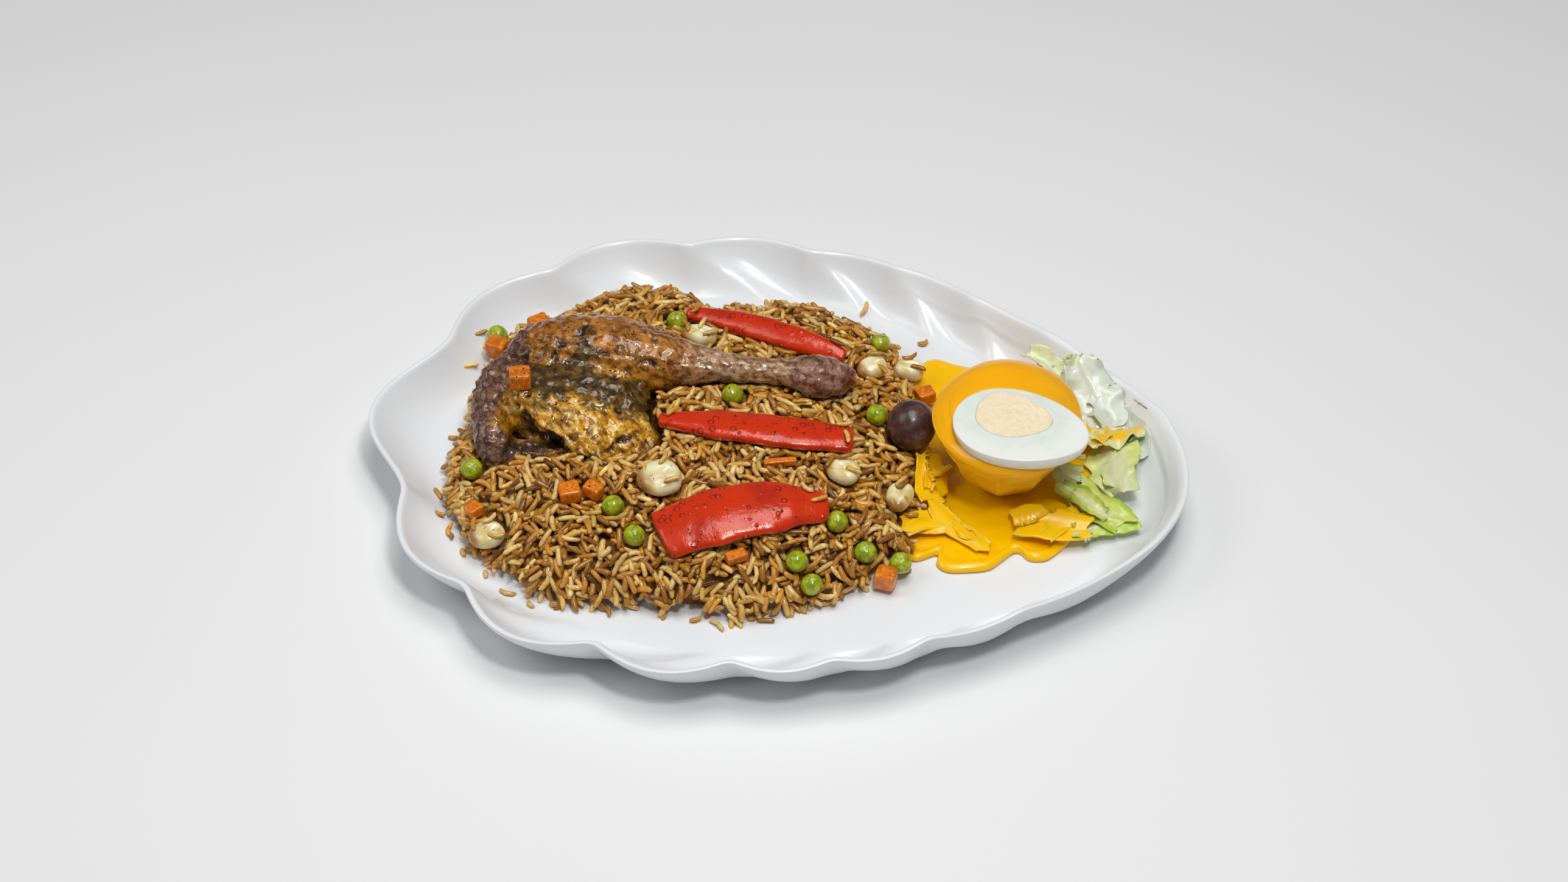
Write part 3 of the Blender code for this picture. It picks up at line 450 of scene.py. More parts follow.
def roast_skin():
    """Braised and roasted duck: oily pored skin, wet herb crust in the creases and matt dark bare meat."""
    look = Look("roast_skin", 0.35, 1.4, coat=(0.8, 0.10), under=(0.06, 1.2, (1.0, 0.35, 0.15)),
                Specular_Tint=(1.0, 0.86, 0.62, 1.0))
    askew = put(look.tree, "ShaderNodeMapping", {"Vector": look.place, "Rotation": (0.0, 0.0, 0.64)})
    streak = look.grain(1.8, 4.0, 0.6, (0.25, 1.0, 0.7), askew.outputs[0])
    fine = look.grain(3.0, 5.0, 0.6)
    tone = look.veil(look.stored("Tint"), "#6A4018", fine, 0.46, 0.64, 0.75, "MULTIPLY")
    tone = look.veil(tone, "#5A3410", streak, 0.50, 0.66, 0.55, "MULTIPLY")
    tone = look.veil(tone, "#D9B06A", look.grain(6.0, 4.0, 0.6), 0.52, 0.72, 0.30, "SOFT_LIGHT")
    tone = look.veil(tone, "#30200A", look.grain(1.8, 3.0, 0.5), 0.66, 0.72)
    gloss = look.reckon("ADD", look.spread(fine, 0.3, 0.7, 0.18, 0.36), look.stored("Oil", "Fac"))
    pores = look.bump(look.grain(1.2, 2.0, 0.5), 0.10, look.bump(streak, 0.55))
    wet = look.bump(look.grain(4.2, 1.0, 0.4), 0.75, look.bump(streak, 0.12))
    return look.done(Base_Color=tone, Roughness=gloss, Coat_Normal=wet,
                     Normal=look.bump(look.grain(4.2, 2.0, 0.5), 1.2, pores))


def red_pepper():
    """Cooked red pepper: tight glossy skin with a few blisters, drops of oil and herb flecks, paler flesh."""
    look = Look("red_pepper", 0.3, 1.4, coat=(0.6, 0.18), under=(0.06, 2.0, (1.0, 0.2, 0.06)),
                Specular_Tint=(1.0, 0.55, 0.40, 1.0))
    cloud, own = look.grain(9.0), look.stored("Tint")
    tone = look.mix(0.5, own, look.veil(own, "#D8583A", cloud, 0.35, 0.68, 0.6, "MULTIPLY"))
    blister = put(look.tree, "ShaderNodeTexVoronoi", {"Vector": look.place, "Scale": 1 / MM / 4.6})
    blister = blister.outputs["Distance"]
    patch = look.spread(look.grain(15.0, 2.0), 0.46, 0.56)
    drop = look.reckon("MULTIPLY", look.spread(blister, 0.20, 0.30, 1.0, 0.0), patch)
    rims = look.reckon("MULTIPLY", look.spread(blister, 0.30, 0.37, 1.0, 0.0), patch)
    tone = look.mix(look.reckon("SUBTRACT", rims, drop), tone, "#9A1A08")
    tone = look.veil(tone, "#4A1E0C", look.grain(1.6, 2.0), 0.70, 0.74)
    beaded = look.bump(drop, 0.5, look.bump(look.grain(4.0), 0.28))
    return look.done(Base_Color=tone, Roughness=look.spread(cloud, 0.3, 0.7, 0.20, 0.36), Normal=beaded,
                     Coat_Normal=beaded)


def pea_skin():
    """Pea skin: olive to leaf green, waxy and faintly puckered."""
    look = Look("pea_skin", 0.25, 1.45, coat=(0.5, 0.12), under=(0.15, 1.5, (0.8, 1.0, 0.1)))
    tone = look.veil("#7E900A", "#B8C41A", look.grain(3.0), 0.35, 0.66)
    tone = look.veil(tone, "#A09A26", look.grain(9.0), 0.45, 0.7, 0.6)
    return look.done(Base_Color=tone, Normal=look.bump(look.grain(1.8, 2.0), 0.16))


def carrot_flesh():
    """Diced carrot: orange flesh with paler fibres, browned by stock, wet on its faces."""
    look = Look("carrot_flesh", 0.3, 1.42, coat=(0.4, 0.15), under=(0.15, 1.5, (1.0, 0.35, 0.08)))
    fibre = look.grain(1.4, 3.0, 0.55, (1.0, 1.0, 0.35))
    tone = look.bands(fibre, (0.32, "#C86206"), (0.52, "#E27A0C"), (0.70, "#EE9628"))
    tone = look.veil(tone, "#8A4E0E", look.grain(7.0), 0.52, 0.68, 0.5)
    return look.done(Base_Color=tone, Normal=look.bump(look.grain(1.6), 0.22))


def corn_skin():
    """Large white corn: smooth cream kernels with a translucent hull, stained amber at the tip."""
    look = Look("corn_skin", 0.28, 1.45, coat=(0.45, 0.12), under=(0.3, 3.0, (1.0, 0.8, 0.45)))
    tone = look.veil(look.stored("Tint"), "#C08A3E", look.grain(9.0), 0.54, 0.70, 0.6)
    tone = look.veil(tone, "#9A6A2A", look.grain(4.0), 0.64, 0.74, 0.6)
    return look.done(Base_Color=tone, Normal=look.bump(look.grain(4.0), 0.3))


def olive_skin():
    """Dark purple olive: a taut satin skin, faintly mottled and dimpled."""
    look = Look("olive_skin", 0.3, 1.45, coat=(0.35, 0.2))
    tone = look.bands(look.grain(5.0, 4.0), (0.35, "#34201F"), (0.55, "#523432"), (0.72, "#6E4A42"))
    return look.done(Base_Color=tone, Roughness=look.spread(look.grain(3.0), 0.3, 0.7, 0.24, 0.42),
                     Normal=look.bump(look.grain(1.2), 0.12))


def boiled_potato():
    """Boiled potato under a thin wet film of yellow sauce, ochre where the film is thin."""
    look = Look("boiled_potato", 0.3, 1.42, coat=(0.5, 0.14), under=(0.15, 4.0, (1.0, 0.6, 0.1)))
    tone = look.bands(look.grain(11.0, 4.0), (0.34, "#F0AE04"), (0.52, "#FCC410"), (0.70, "#F6CC4C"))
    return look.done(Base_Color=tone, Normal=look.bump(look.grain(3.2, 4.0), 0.35))


def yellow_sauce(name, deep, pale):
    """Thick creamy yellow sauce: opaque orange-yellow, smooth and wet, a shade deeper or paler in slow
    patches.
    """
    look = Look(name, 0.25, 1.35, coat=(0.45, 0.09), under=(0.12, 3.0, (1.0, 0.8, 0.05)),
                Specular_IOR_Level=0.35)
    tone = look.mix(look.grain(26.0), deep, pale)
    tone = look.veil(tone, "#E89A04", look.grain(2.2), 0.68, 0.76, 0.15)
    return look.done(Base_Color=tone, Roughness=look.spread(look.grain(12.0), 0.3, 0.7, 0.16, 0.28),
                     Normal=look.bump(look.grain(9.0, 2.0), 0.35))


def boiled_white():
    """Boiled egg white: dense, milky and softly shining, with a cool green cast round the yolk."""
    look = Look("boiled_white", 0.3, 1.4, coat=(0.25, 0.2), under=(0.35, 4.0, (0.9, 1.0, 0.95)))
    tone = look.veil(look.stored("Tint"), "#DDE6E0", look.grain(7.0), 0.45, 0.7, 0.35)
    return look.done(Base_Color=tone, Normal=look.bump(look.grain(5.0), 0.12))


def boiled_yolk():
    """Hard yolk: pale peach and crumbly, quite matt."""
    look = Look("boiled_yolk", 0.6, 1.4, under=(0.2, 2.0, (1.0, 0.75, 0.4)))
    crumb = look.grain(1.6, 4.0, 0.65)
    tone = look.bands(crumb, (0.30, "#F2DAB0"), (0.5, "#F8E4C2"), (0.70, "#FBECD2"))
    return look.done(Base_Color=tone, Normal=look.bump(crumb, 0.18, look.bump(look.grain(7.0), 0.6)))


def crisp_lettuce():
    """Torn lettuce: a thin wet leaf, nearly clear at the rib and green at the frill, with fine veins and
    yellow sauce on some of it."""
    look = Look("crisp_lettuce", 0.3, 1.4, coat=(0.3, 0.15), under=(0.15, 1.5, (0.9, 1.0, 0.4)))
    vein = look.grain(4.0, 4.0, 0.55)
    tone = look.veil(look.stored("Tint"), "#DCE6A8", vein, 0.36, 0.62, 0.25, "MULTIPLY")
    tone = look.veil(tone, "#F2F6DC", vein, 0.58, 0.72, 0.25, "SCREEN")
    tone = look.mix(look.stored("Sauce", "Fac"), tone, look.stored("SauceTint"))
    return look.done(Base_Color=tone, Alpha=look.stored("Clear", "Fac"), Normal=look.bump(vein, 0.16))


def herb_fleck():
    """Chopped dried herb and pepper: dark green-brown bits, matt and uneven."""
    look = Look("herb_fleck", 0.5, 1.4)
    return look.done(Base_Color=look.mix(look.grain(6.0), "#3E3C10", "#54340E"),
                     Normal=look.bump(look.grain(0.8), 0.2))


def pale_table():
    """A pale matt table top with a very faint cloud."""
    look = Look("pale_table", 0.6, 1.4)
    return look.done(Base_Color=look.mix(look.grain(400), "#ECECEC", "#F1F1F1"))


# ---------------------------------------------------------------- the plate
def lobes(angle):
    """Rim radius, and the scallop from 1 at a notch to -1 in a lobe: a sine arc between each two notches."""
    turned = np.abs((np.asarray(angle, float) + 180.0) % 360.0 - 180.0)
    last = len(LOBE_BULGES) - 1
    i = np.minimum(np.searchsorted(LOBE_ANGLES, turned, side="right") - 1, last)
    u = (turned - LOBE_ANGLES[i]) / (LOBE_ANGLES[i + 1] - LOBE_ANGLES[i])
    low, high = LOBE_RADII[i], LOBE_RADII[i + 1]
    half = np.pi / 2 * u
    radius = low * (1 - u) + high * u + LOBE_BULGES[i] * np.sin(np.pi * u)
    radius = np.where(i == 0, high + (low - high) * np.cos(half), radius)
    radius = np.where(i == last, low + (high - low) * np.sin(half) ** 2, radius)
    scallop = 1 - 2 * np.sin(np.pi * u)
    scallop = np.where(i == 0, 1 - 2 * np.cos(half), scallop)
    return radius, np.where(i == last, 1 - 2 * np.sin(half), scallop)


TURNS = np.arange(0.0, 360.01, 0.25)
RIM = np.mean([lobes(TURNS + d)[0] for d in (-1.2, -0.6, 0, 0.6, 1.2)], 0)
SMOOTH_RIM = np.mean([lobes(TURNS + d)[0] for d in range(-20, 21, 2)], 0)
SCALLOP = np.mean([lobes(TURNS + d)[1] for d in np.linspace(-1.6, 1.6, 9)], 0)


def wall_point(angle, w):
    """Radius and height on the inside of the wall, w from 0 at the floor to 1 at the lip: the height rises
    as a power of w and the scallops of the rim swirl as they fade towards the floor."""
    wide = WALL_MEAN - WALL_TAPER * np.cos(np.radians(angle))
    inner = np.interp(angle % 360, TURNS, SMOOTH_RIM) - wide
    outer = np.interp(angle % 360, TURNS, RIM) - LIP
    source = angle + SWIRL_DEG * (1 - w) * np.sin(np.radians(angle))
    swell = RIDGE_MID * np.sin(np.pi * w) + RIDGE_RIM * w
    height = FLOOR_Z + WALL_RISE * w ** WALL_POWER + swell * np.interp(source % 360, TURNS, SCALLOP)
    return inner + (outer - inner) * w, height


def plate_top(x, y):
    """Height of the plate's upper face at a point."""
    angle = np.degrees(np.arctan2(y, x)) % 360
    inner, outer = wall_point(angle, 0.0)[0], wall_point(angle, 1.0)[0]
    return wall_point(angle, np.clip((np.hypot(x, y) - inner) / (outer - inner), 0, 1))[1]


def make_plate():
    """One profile swept round and its corners cut twice: floor, wall, rolled lip, underside and foot ring."""
    angles = np.arange(560) * 360.0 / 560
    spin = np.stack([np.cos(np.radians(angles)), np.sin(np.radians(angles))], 1)
    rings = []

    def ring(radius, height):
        rings.append(np.column_stack([spin * np.broadcast_to(radius, angles.shape)[:, None],
                                      np.broadcast_to(height, angles.shape)]))

    inner = wall_point(angles, 0.0)[0]
    rim, lip = np.interp(angles, TURNS, RIM), wall_point(angles, 1.0)[1]
    for share in (0.03, 0.5, 0.9):
        ring(inner * share, FLOOR_Z)
    for w in np.sort(np.append(np.linspace(0, 1, 13), (0.70, 0.725, 0.775, 0.80))):
        radius, height = wall_point(angles, w)
        step = 1.3 * ease(0.70, 0.78, w) * ease(0.2, 0.8, np.cos(np.radians(angles)))
        ring(radius, height + step * (w < 0.99))
    ring(rim - 1.3, lip + 0.5)
    ring(rim - 0.1, lip + 0.3)
    ring(rim, lip - 0.6)
    ring(rim - 0.3, lip - 2.4)
    for w in (0.9, 0.68, 0.45, 0.22):
        radius, height = wall_point(angles, w)
        slope = WALL_RISE * WALL_POWER * w ** (WALL_POWER - 1) / (WALL_MEAN - WALL_TAPER * spin[:, 0])
        ring(radius, height - SHELL * np.sqrt(1 + slope ** 2))
    foot = FOOT_SHARE * inner
    ring(inner, FOOT_TOP + 0.5)
    for out, high in ((3.2, FOOT_TOP), (2.0, 1.2), (2.0, 0.0), (-2.0, 0.0), (-2.0, 1.2), (-3.2, FOOT_TOP)):
        ring(foot + out, high)
    ring(foot * 0.5, FOOT_TOP)
    ring(foot * 0.03, FOOT_TOP)
    return served(ringed("shell_plate", softened(rings, 2)), glazed_china(), "white_glaze", "plate")


# ---------------------------------------------------------------- duck leg
def between(stations, places):
    """Rows of numbers read off between stations that lie one apart."""
    rows = np.asarray(stations, float)
    return np.stack([np.interp(places, np.arange(len(rows)), column) for column in rows.T], 1)


def square_frame(path):
    """Sideways and upward directions of unit length along a path."""
    along = np.gradient(path, axis=0)
    along /= np.linalg.norm(along, axis=1)[:, None]
    side = np.cross(along, (0, 0, 1))
    side /= np.linalg.norm(side, axis=1)[:, None]
    return side, np.cross(side, along)


def tube(path, squash=1.0, around=40, per=5):
    """A closed tube through stations of place and radius, eased between them, its underside squashed."""
    path = between(path, np.linspace(0, len(path) - 1, (len(path) - 1) * per + 1))
    for _ in range(3):
        path[1:-1] = path[:-2] * 0.25 + path[1:-1] * 0.5 + path[2:] * 0.25
    side, up = square_frame(path[:, :3])
    turn = np.arange(around) * TAU / around
    drop = np.where(np.sin(turn) < 0, np.sin(turn) * squash, np.sin(turn))
    rings = (path[:, None, :3] + path[:, None, 3:] * (np.cos(turn)[None, :, None] * side[:, None]
                                                      + drop[None, :, None] * up[:, None]))
    return closed_rings(rings)


def ball(middle, half, rows=24, around=36, power=1.0):
    """An ellipsoid from latitude and longitude; a power above 1 makes it boxier."""
    lat = -np.pi / 2 + np.pi * (np.arange(rows) + 0.5) / rows
    a = np.arange(around) * TAU / around

    def soft(v):
        return np.sign(v) * np.abs(v) ** (1 / power)

    x = soft(np.cos(lat))[:, None] * soft(np.cos(a)) * half[0]
    y = soft(np.cos(lat))[:, None] * soft(np.sin(a)) * half[1]
    z = np.broadcast_to((soft(np.sin(lat)) * half[2])[:, None], x.shape)
    points, quads, fans = closed_rings(np.stack([middle[0] + x, middle[1] + y, middle[2] + z], -1))
    points[-2, 2], points[-1, 2] = middle[2] - half[2], middle[2] + half[2]
    return points, quads, fans


def skin_sheet():
    """The hanging flap of skin: lines eased from its top edge to its ragged lower edge, given a thickness."""
    fine = np.linspace(0, 5, 34)
    top, edge = (between(line, fine) for line in (FLAP_TOP, FLAP_EDGE))
    edge[:, 1] += 1.1 * np.sin(fine * 6.1) + 0.7 * np.sin(fine * 13.7 + 1)
    t = np.linspace(0, 1, 20)[:, None, None]
    sheet = top * (1 - t) + edge * t
    sheet[..., 2] += 3.2 * np.sin(np.pi * t[..., 0])
    return closed_rings(np.concatenate([sheet, sheet[:, ::-1] - (0, 0, FLAP_THICK)], 1))


def fused(name, shapes, voxel, smooth):
    """One skin round several closed shapes: they are remeshed together in cubes, then smoothed."""
    made = outward(mesh_of(name, *piled(shapes)))
    step = made.modifiers.new("fuse", "REMESH")
    step.mode, step.voxel_size = "VOXEL", voxel * MM
    step = made.modifiers.new("soften", "SMOOTH")
    step.factor, step.iterations = 0.5, smooth
    mesh = bpy.data.meshes.new_from_object(made.evaluated_get(bpy.context.evaluated_depsgraph_get()))
    old = made.data
    made.modifiers.clear()
    made.data = mesh
    mesh.name = name
    bpy.data.meshes.remove(old)
    mesh.polygons.foreach_set("use_smooth", np.ones(len(mesh.polygons), bool))
    return made


def near(points, x, y, reach):
    """A soft spot in plan, from 1 at its middle to nearly 0 at three times its reach."""
    return np.exp(-((points[:, 0] - x) ** 2 + (points[:, 1] - y) ** 2) / (2 * reach ** 2))


def make_duck():
    """The leg: drumstick, thigh, rolled meat and flap fused to one skin, then moved along its normals by
    layered noise, wrinkles across the thigh, fibres along the meat, streaks along the shank and a hollow
    under the flap. Its colour has painted shade in the sunken creases and pits, a painted shadow in the
    hollow, and painted highlight and shade along the thigh's streaks and the shank's ribs."""
    shapes = [tube(DRUMSTICK, 0.78), ball((-89, 9, 31), (35, 23, 16.5), 26, 40, 1.1),
              ball((-67, -8, 27), (20, 14.5, 9.0)), tube(MEAT_ROLL, 0.9), tube(LOWER_LOBE, 0.9), skin_sheet()]
    leg = fused("duck_leg_roast", shapes, 0.80, 4)
    p, n = places_of(leg), rows_of(leg, "vertex_normals", "vector")
    waves = np.sin(p @ (0.52, 0.33, 0.41)) * np.sin(p @ (-0.36, 0.61, 0.29) + 1.3)
    x, y, z = p.T
    meat = np.clip(ease(-112.5, -117, x - 0.15 * y) + ease(-16, -21, y) * ease(-92, -97, x), 0, 1)
    meat = np.clip(meat + ease(31, 28, z) * ease(-40, -52, x), 0, 1)
    shank = ease(-50, -32, x)
    knuckle = ease(1, 9, x)
    thigh = (1 - meat) * (1 - shank) * ease(22, 6, y)
    fibre = noise(p * (0.9, 0.28, 0.9), 1.5, 3)
    rib = noise(p * (0.16, 1.0, 1.0), 1.6, 4)
    lump = noise(p, 11, 5)
    fold = creases(p + 2.0 * np.stack([noise(p, 8, 6), noise(p, 8, 7), noise(p, 8, 8)], 1), 7.0, 9)
    rough = noise(p, 3.2, 10)
    fine = noise(p, 1.7, 11)
    across = np.stack([p @ (0.74, -0.56, -0.37), p @ (0.60, 0.80, 0.0), p @ (0.30, -0.22, 0.93)], 1)
    streak = noise(across * (0.22, 1.0, 1.0), 2.0, 19)
    skin = thigh * (0.40 * (fold - 0.5) + 0.20 * rough + 0.42 * streak)
    move = 0.45 * waves + 0.50 * lump * (1 - 0.6 * shank)
    move += skin + (1 - thigh) * (1 - shank) * 0.30 * rough
    move += meat * (0.55 * fibre + 0.35 * rough) + shank * (0.22 * rib + 0.12 * rough) + 0.16 * fine
    pits = ease(0.42, 0.75, noise(p, 5.2, 12)) * (1 - meat) * (1 - shank)
    move -= 0.7 * pits
    # The hollow under the flap: pushed in, and painted near black below as a painted shadow.
    hollow = ease(38.5, 35.0, z) * ease(29.5, 32.0, z) * ease(-112, -106, x)
    hollow = hollow * ease(-78, -88, x) * ease(-9, -14, y)
    move -= 1.6 * hollow
    move_to(leg, p + n * move[:, None])

    crust = np.clip(sum(most * near(p, *spot) for most, *spot in CRUST), 0, 1.15)
    crust = ease(0.34, 0.78, crust + 0.34 * noise(p, 6.0, 13) + 0.20 * noise(p, 2.6, 14)) * (1 - meat)
    amber = np.clip(near(p, -72, -17, 14) + 0.8 * near(p, -60, -14, 9), 0, 1) * thigh
    # deep grows where the skin was moved in. With the pits, it marks where shade is painted into the colour.
    deep = ease(-0.2, -1.4, move) * (1 - meat * 0.5)
    # Base tone, amber thigh with its streaks painted lighter on the crests and darker in the grooves (painted
    # highlight and painted shade), pale shank with its ribs painted the same way, dark knuckle and its end,
    # herb crust, bare meat, painted shade in the sunken creases and pits, and a painted shadow in the hollow
    # under the flap.
    tint(leg, stained(
        p, "#A4661A", ("#C8843A", ease(-0.3, 0.6, noise(p, 9.0, 15))),
        ("#DC9A16", np.clip(thigh * 0.75 + 0.3 * amber, 0, 1)),
        # The thigh's streaks: painted lighter on their raised crests as painted highlight and darker in the
        # sunken grooves as painted shade.
        ("#FFCE54", np.clip(amber + 0.3 * thigh, 0, 1) * ease(-0.1, 0.6, streak) * 0.75),
        ("#7A4E12", thigh * ease(0.0, -0.6, streak) * 0.7),
        ("#6E6418", thigh * ease(0.10, 0.6, noise(p, 7.0, 16)) * 0.6),
        # Pale shank. Its streaks along the ribs are painted lighter on the raised ribs as painted highlight
        # and darker between them as painted shade.
        ("#B8926E", shank * 0.9), ("#E0C4A4", shank * ease(0.2, 0.7, rib) * 0.5),
        ("#5E3C24", shank * ease(-0.2, -0.7, rib) * 0.6), ("#9A6E5E", knuckle * 0.85),
        ("#52301F", knuckle * ease(0.0, 0.6, noise(p, 6.0, 17)) * 0.7), ("#8E4630", ease(26, 29, x)),
        ("#4E3A12", crust * 0.85), ("#241A06", crust * ease(-0.2, 0.5, noise(p, 3.0, 18)) * 0.85),
        (stained(p, "#845A46", ("#54352A", ease(-0.2, 0.6, fibre + 0.6 * rough))), meat),
        ("#6A3420", ease(33, 29, z) * ease(-96, -88, x) * (1 - shank) * 0.7),
        # Painted shade in the sunken creases and pits, and a painted shadow in the hollow under the flap.
        ("#241408", np.clip(0.75 * deep + 0.75 * pits, 0, 1)), ("#180E08", 0.9 * hollow)))
    grade(leg, "Oil", np.clip(0.28 * meat + 0.05 * shank - 0.08 * thigh + 0.12 * crust, -0.12, 0.4))
    return served(leg, roast_skin(), "roast_skin", "duck_leg")


# ---------------------------------------------------------------- vegetables
def spun(points, turn):
    """Points turned about the upright axis by an angle in radians."""
    x, y, z = np.moveaxis(points, -1, 0)
    return np.stack([*turned(x, y, turn), z], -1)


def scattered(name, shapes, material, kind):
    """Several bodies as one mesh of that kind, serving the solids kind_1, kind_2 and on."""
    made = outward(mesh_of(name, *piled(shapes)))
    return served(made, material, kind, *[f"{kind}_{i + 1}" for i in range(len(shapes))])


def pepper_strip(path, halves, roll, seed):
    """A strip carried along a cubic path: its section is a flat slab bowed down at both edges, with rounded
    corners, and its width follows the stations. Returns the shape and each point's colour."""
    path = np.asarray(path, float)
    knots = np.linspace(0, 1, len(path))
    steps = 0.5 - 0.5 * np.cos(np.linspace(0, np.pi, 90))
    fit = np.stack([np.polyval(np.polyfit(knots, path[:, i], 3), steps) for i in range(3)], 1)
    ends = np.clip(1 - (1 - np.clip(steps / 0.025, 0, 1)) ** 3, 0, 1)
    ends *= np.clip(1 - (1 - np.clip((1 - steps) / 0.025, 0, 1)) ** 3, 0, 1)
    bump = (0.25 * np.sin(steps * 17 + seed) + 0.15 * np.sin(steps * 31 + 2 * seed)) * min(halves[1] / 9, 1)
    wide = (np.interp(steps, knots, halves) + bump) * (0.72 + 0.28 * ends)
    side, up = turned(*square_frame(fit), -math.radians(roll))
    a = np.arange(56) * TAU / 56
    across = np.sign(np.cos(a)) * np.abs(np.cos(a)) ** 0.55
    level = np.sign(np.sin(a)) * np.abs(np.sin(a)) ** 0.62
    bow = -0.16 * wide[:, None] * across ** 2
    tall = (PEPPER_THICK / 2) * level * (0.7 + 0.3 * ends)[:, None] + bow
    rings = fit[:, None] + (wide[:, None] * across)[..., None] * side[:, None] + tall[..., None] * up[:, None]
    points, quads, fans = closed_rings(rings)
    points[:, 2] += 0.25 * noise(points, 7, 20 + seed)
    skin = np.append(np.broadcast_to(ease(-0.2, 0.35, level), rings.shape[:2]).ravel(), [0.3, 0.3])
    return (points, quads, fans), stained(
        points, "#C8502A", ("#E08A5C", ease(-0.2, 0.5, noise(points, 4, 30))), ("#D43204", skin),
        ("#B42208", skin * ease(0.1, 0.7, noise(points, 12, 31 + seed)) * 0.6))


def make_peppers():
    """The three strips of pepper as one mesh."""
    strips = [pepper_strip(path, halves, roll, i) for i, (path, halves, roll) in enumerate(PEPPERS)]
    made = outward(mesh_of("pepper_strips", *piled([s[0] for s in strips])))
    tint(made, np.vstack([s[1] for s in strips]))
    return served(made, red_pepper(), "red_pepper", "pepper_back", "pepper_middle", "pepper_front")


def make_peas():
    """Peas: a ball a little squashed, with a dimple and shallow puckers that run down from it."""
    shapes = []
    for i, at in enumerate(PEAS):
        points, quads, fans = ball((0, 0, 0), (PEA_D / 2,) * 3, 18, 26)
        lat = points[:, 2] / (PEA_D / 2)
        turn = np.arctan2(points[:, 1], points[:, 0])
        pucker = 0.012 * np.sin(7 * turn + i) * ease(-0.4, 0.8, lat)
        pull = 1 - 0.07 * bell(lat, 1, 0.05) + pucker
        points = points * (pull + 0.03 * noise(points + 9 * i, 4, 40))[:, None] * (1, 1, 0.96)
        x, z = turned(points[:, 0], points[:, 2], -0.5 - 0.35 * math.sin(2.3 * i))
        shapes.append((spun(np.stack([x, points[:, 1], z], 1), 1.7 * i) + at, quads, fans))
    return scattered("green_peas", shapes, pea_skin(), "pea")


def make_carrots():
    """Diced carrot: boxy rounded blocks, each cut a little out of square and softly dented."""
    shapes = []
    for i, (long, wide, tall, turn) in enumerate(CARROT_SIZES):
        low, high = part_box(f"carrot_{i + 1}")
        at = (np.array(low) + np.array(high)) / 2 / MM
        points, quads, fans = ball((0, 0, 0), (long / 2, wide / 2, tall / 2), 18, 36, 3.4)
        points[:, 0] += 0.09 * points[:, 2] * math.sin(i * 2.1)
        points *= (1 + 0.045 * noise(points + 11 * i, 4.0, 50))[:, None]
        shapes.append((spun(points, math.radians(turn)) + at, quads, fans))
    return scattered("carrot_dice", shapes, carrot_flesh(), "carrot")


def make_corn():
    """Large corn kernels: flat balls, broader at the crown, dented on the face and narrow at the tip."""
    shapes, colours = [], []
    for i, (at, size, turn) in enumerate(CORN):
        points, quads, fans = ball((0, 0, 0), np.array(size) / 2, 22, 40, 1.2)
        u = points[:, 0] / (size[0] / 2)
        v = points[:, 1] / (size[1] / 2)
        points[:, 1] *= 1 + 0.16 * u - 0.12 * u ** 2
        points[:, 2] *= 1 + 0.12 * u
        points[:, 2] -= 2.0 * np.exp(-((u - 0.30) ** 2 / 0.20 + v ** 2 / 0.05)) * (points[:, 2] > 0)
        points *= (1 + 0.06 * noise(points + 7 * i, 7, 60))[:, None]
        points = spun(points, math.radians(turn))
        shapes.append((points + at, quads, fans))
        cream = ease(-0.2, 0.6, noise(points, 6, 61 + i))
        colours.append(stained(points, "#F0E8BC", ("#DEC880", cream), ("#A87432", ease(-0.35, -0.85, u))))
    return tint(scattered("corn_kernels", shapes, corn_skin(), "corn"), np.vstack(colours))


def make_olive():
    """The olive: an egg-shaped ball with a small round stem dent that faces the front right."""
    points, quads, fans = ball((0, 0, 0), OLIVE_SIZE / 2, 48, 64)
    stem = np.array([0.42, -0.80, 0.30])
    stem /= np.linalg.norm(stem)
    way = points / np.linalg.norm(points, axis=1)[:, None]
    far = np.degrees(np.arccos(np.clip(way @ stem, -1, 1)))
    pull = 1 - 0.085 * bell(far, 0, 7) + 0.012 * bell(far, 13, 5) + 0.006 * noise(points, 6, 70)
    made = outward(mesh_of("olive_whole", points * pull[:, None] + OLIVE_AT, quads, fans))
    return served(made, olive_skin(), "olive", "olive")


# ---------------------------------------------------------------- potato, sauce and egg
def egg_share(x, y):
    """How far a point in plan is from the middle of the egg's cut face, 1 on its outline."""
    # The face is drawn at the origin, turned and then moved by EGG_AT, so this goes the other way round.
    u, v = turned(x - EGG_AT[0], y - EGG_AT[1], -math.radians(EGG_TURN))
    a = np.arctan2(v / EGG_WIDE, u / EGG_LONG)
    for _ in range(6):
        a = np.arctan2(v / (EGG_WIDE * (1 - EGG_BLUNT * np.cos(a))), u / EGG_LONG)
    return np.hypot(u / (EGG_LONG / 2), v / (EGG_WIDE / 2 * (1 - EGG_BLUNT * np.cos(a))))


def egg_under(x, y):
    """Height of the egg's underside above a point, very high outside its outline."""
    share = egg_share(x, y)
    sink = EGG_DEEP * np.sqrt(np.clip(1 - share ** 2, 0, 1))
    return np.where(share < 1.0, EGG_AT[2] - EGG_RIM - sink, 99.0)


def hollowed(height, x, y, gap):
    """Keeps a height at least a gap under the egg."""
    return np.minimum(height, egg_under(x, y) - gap)


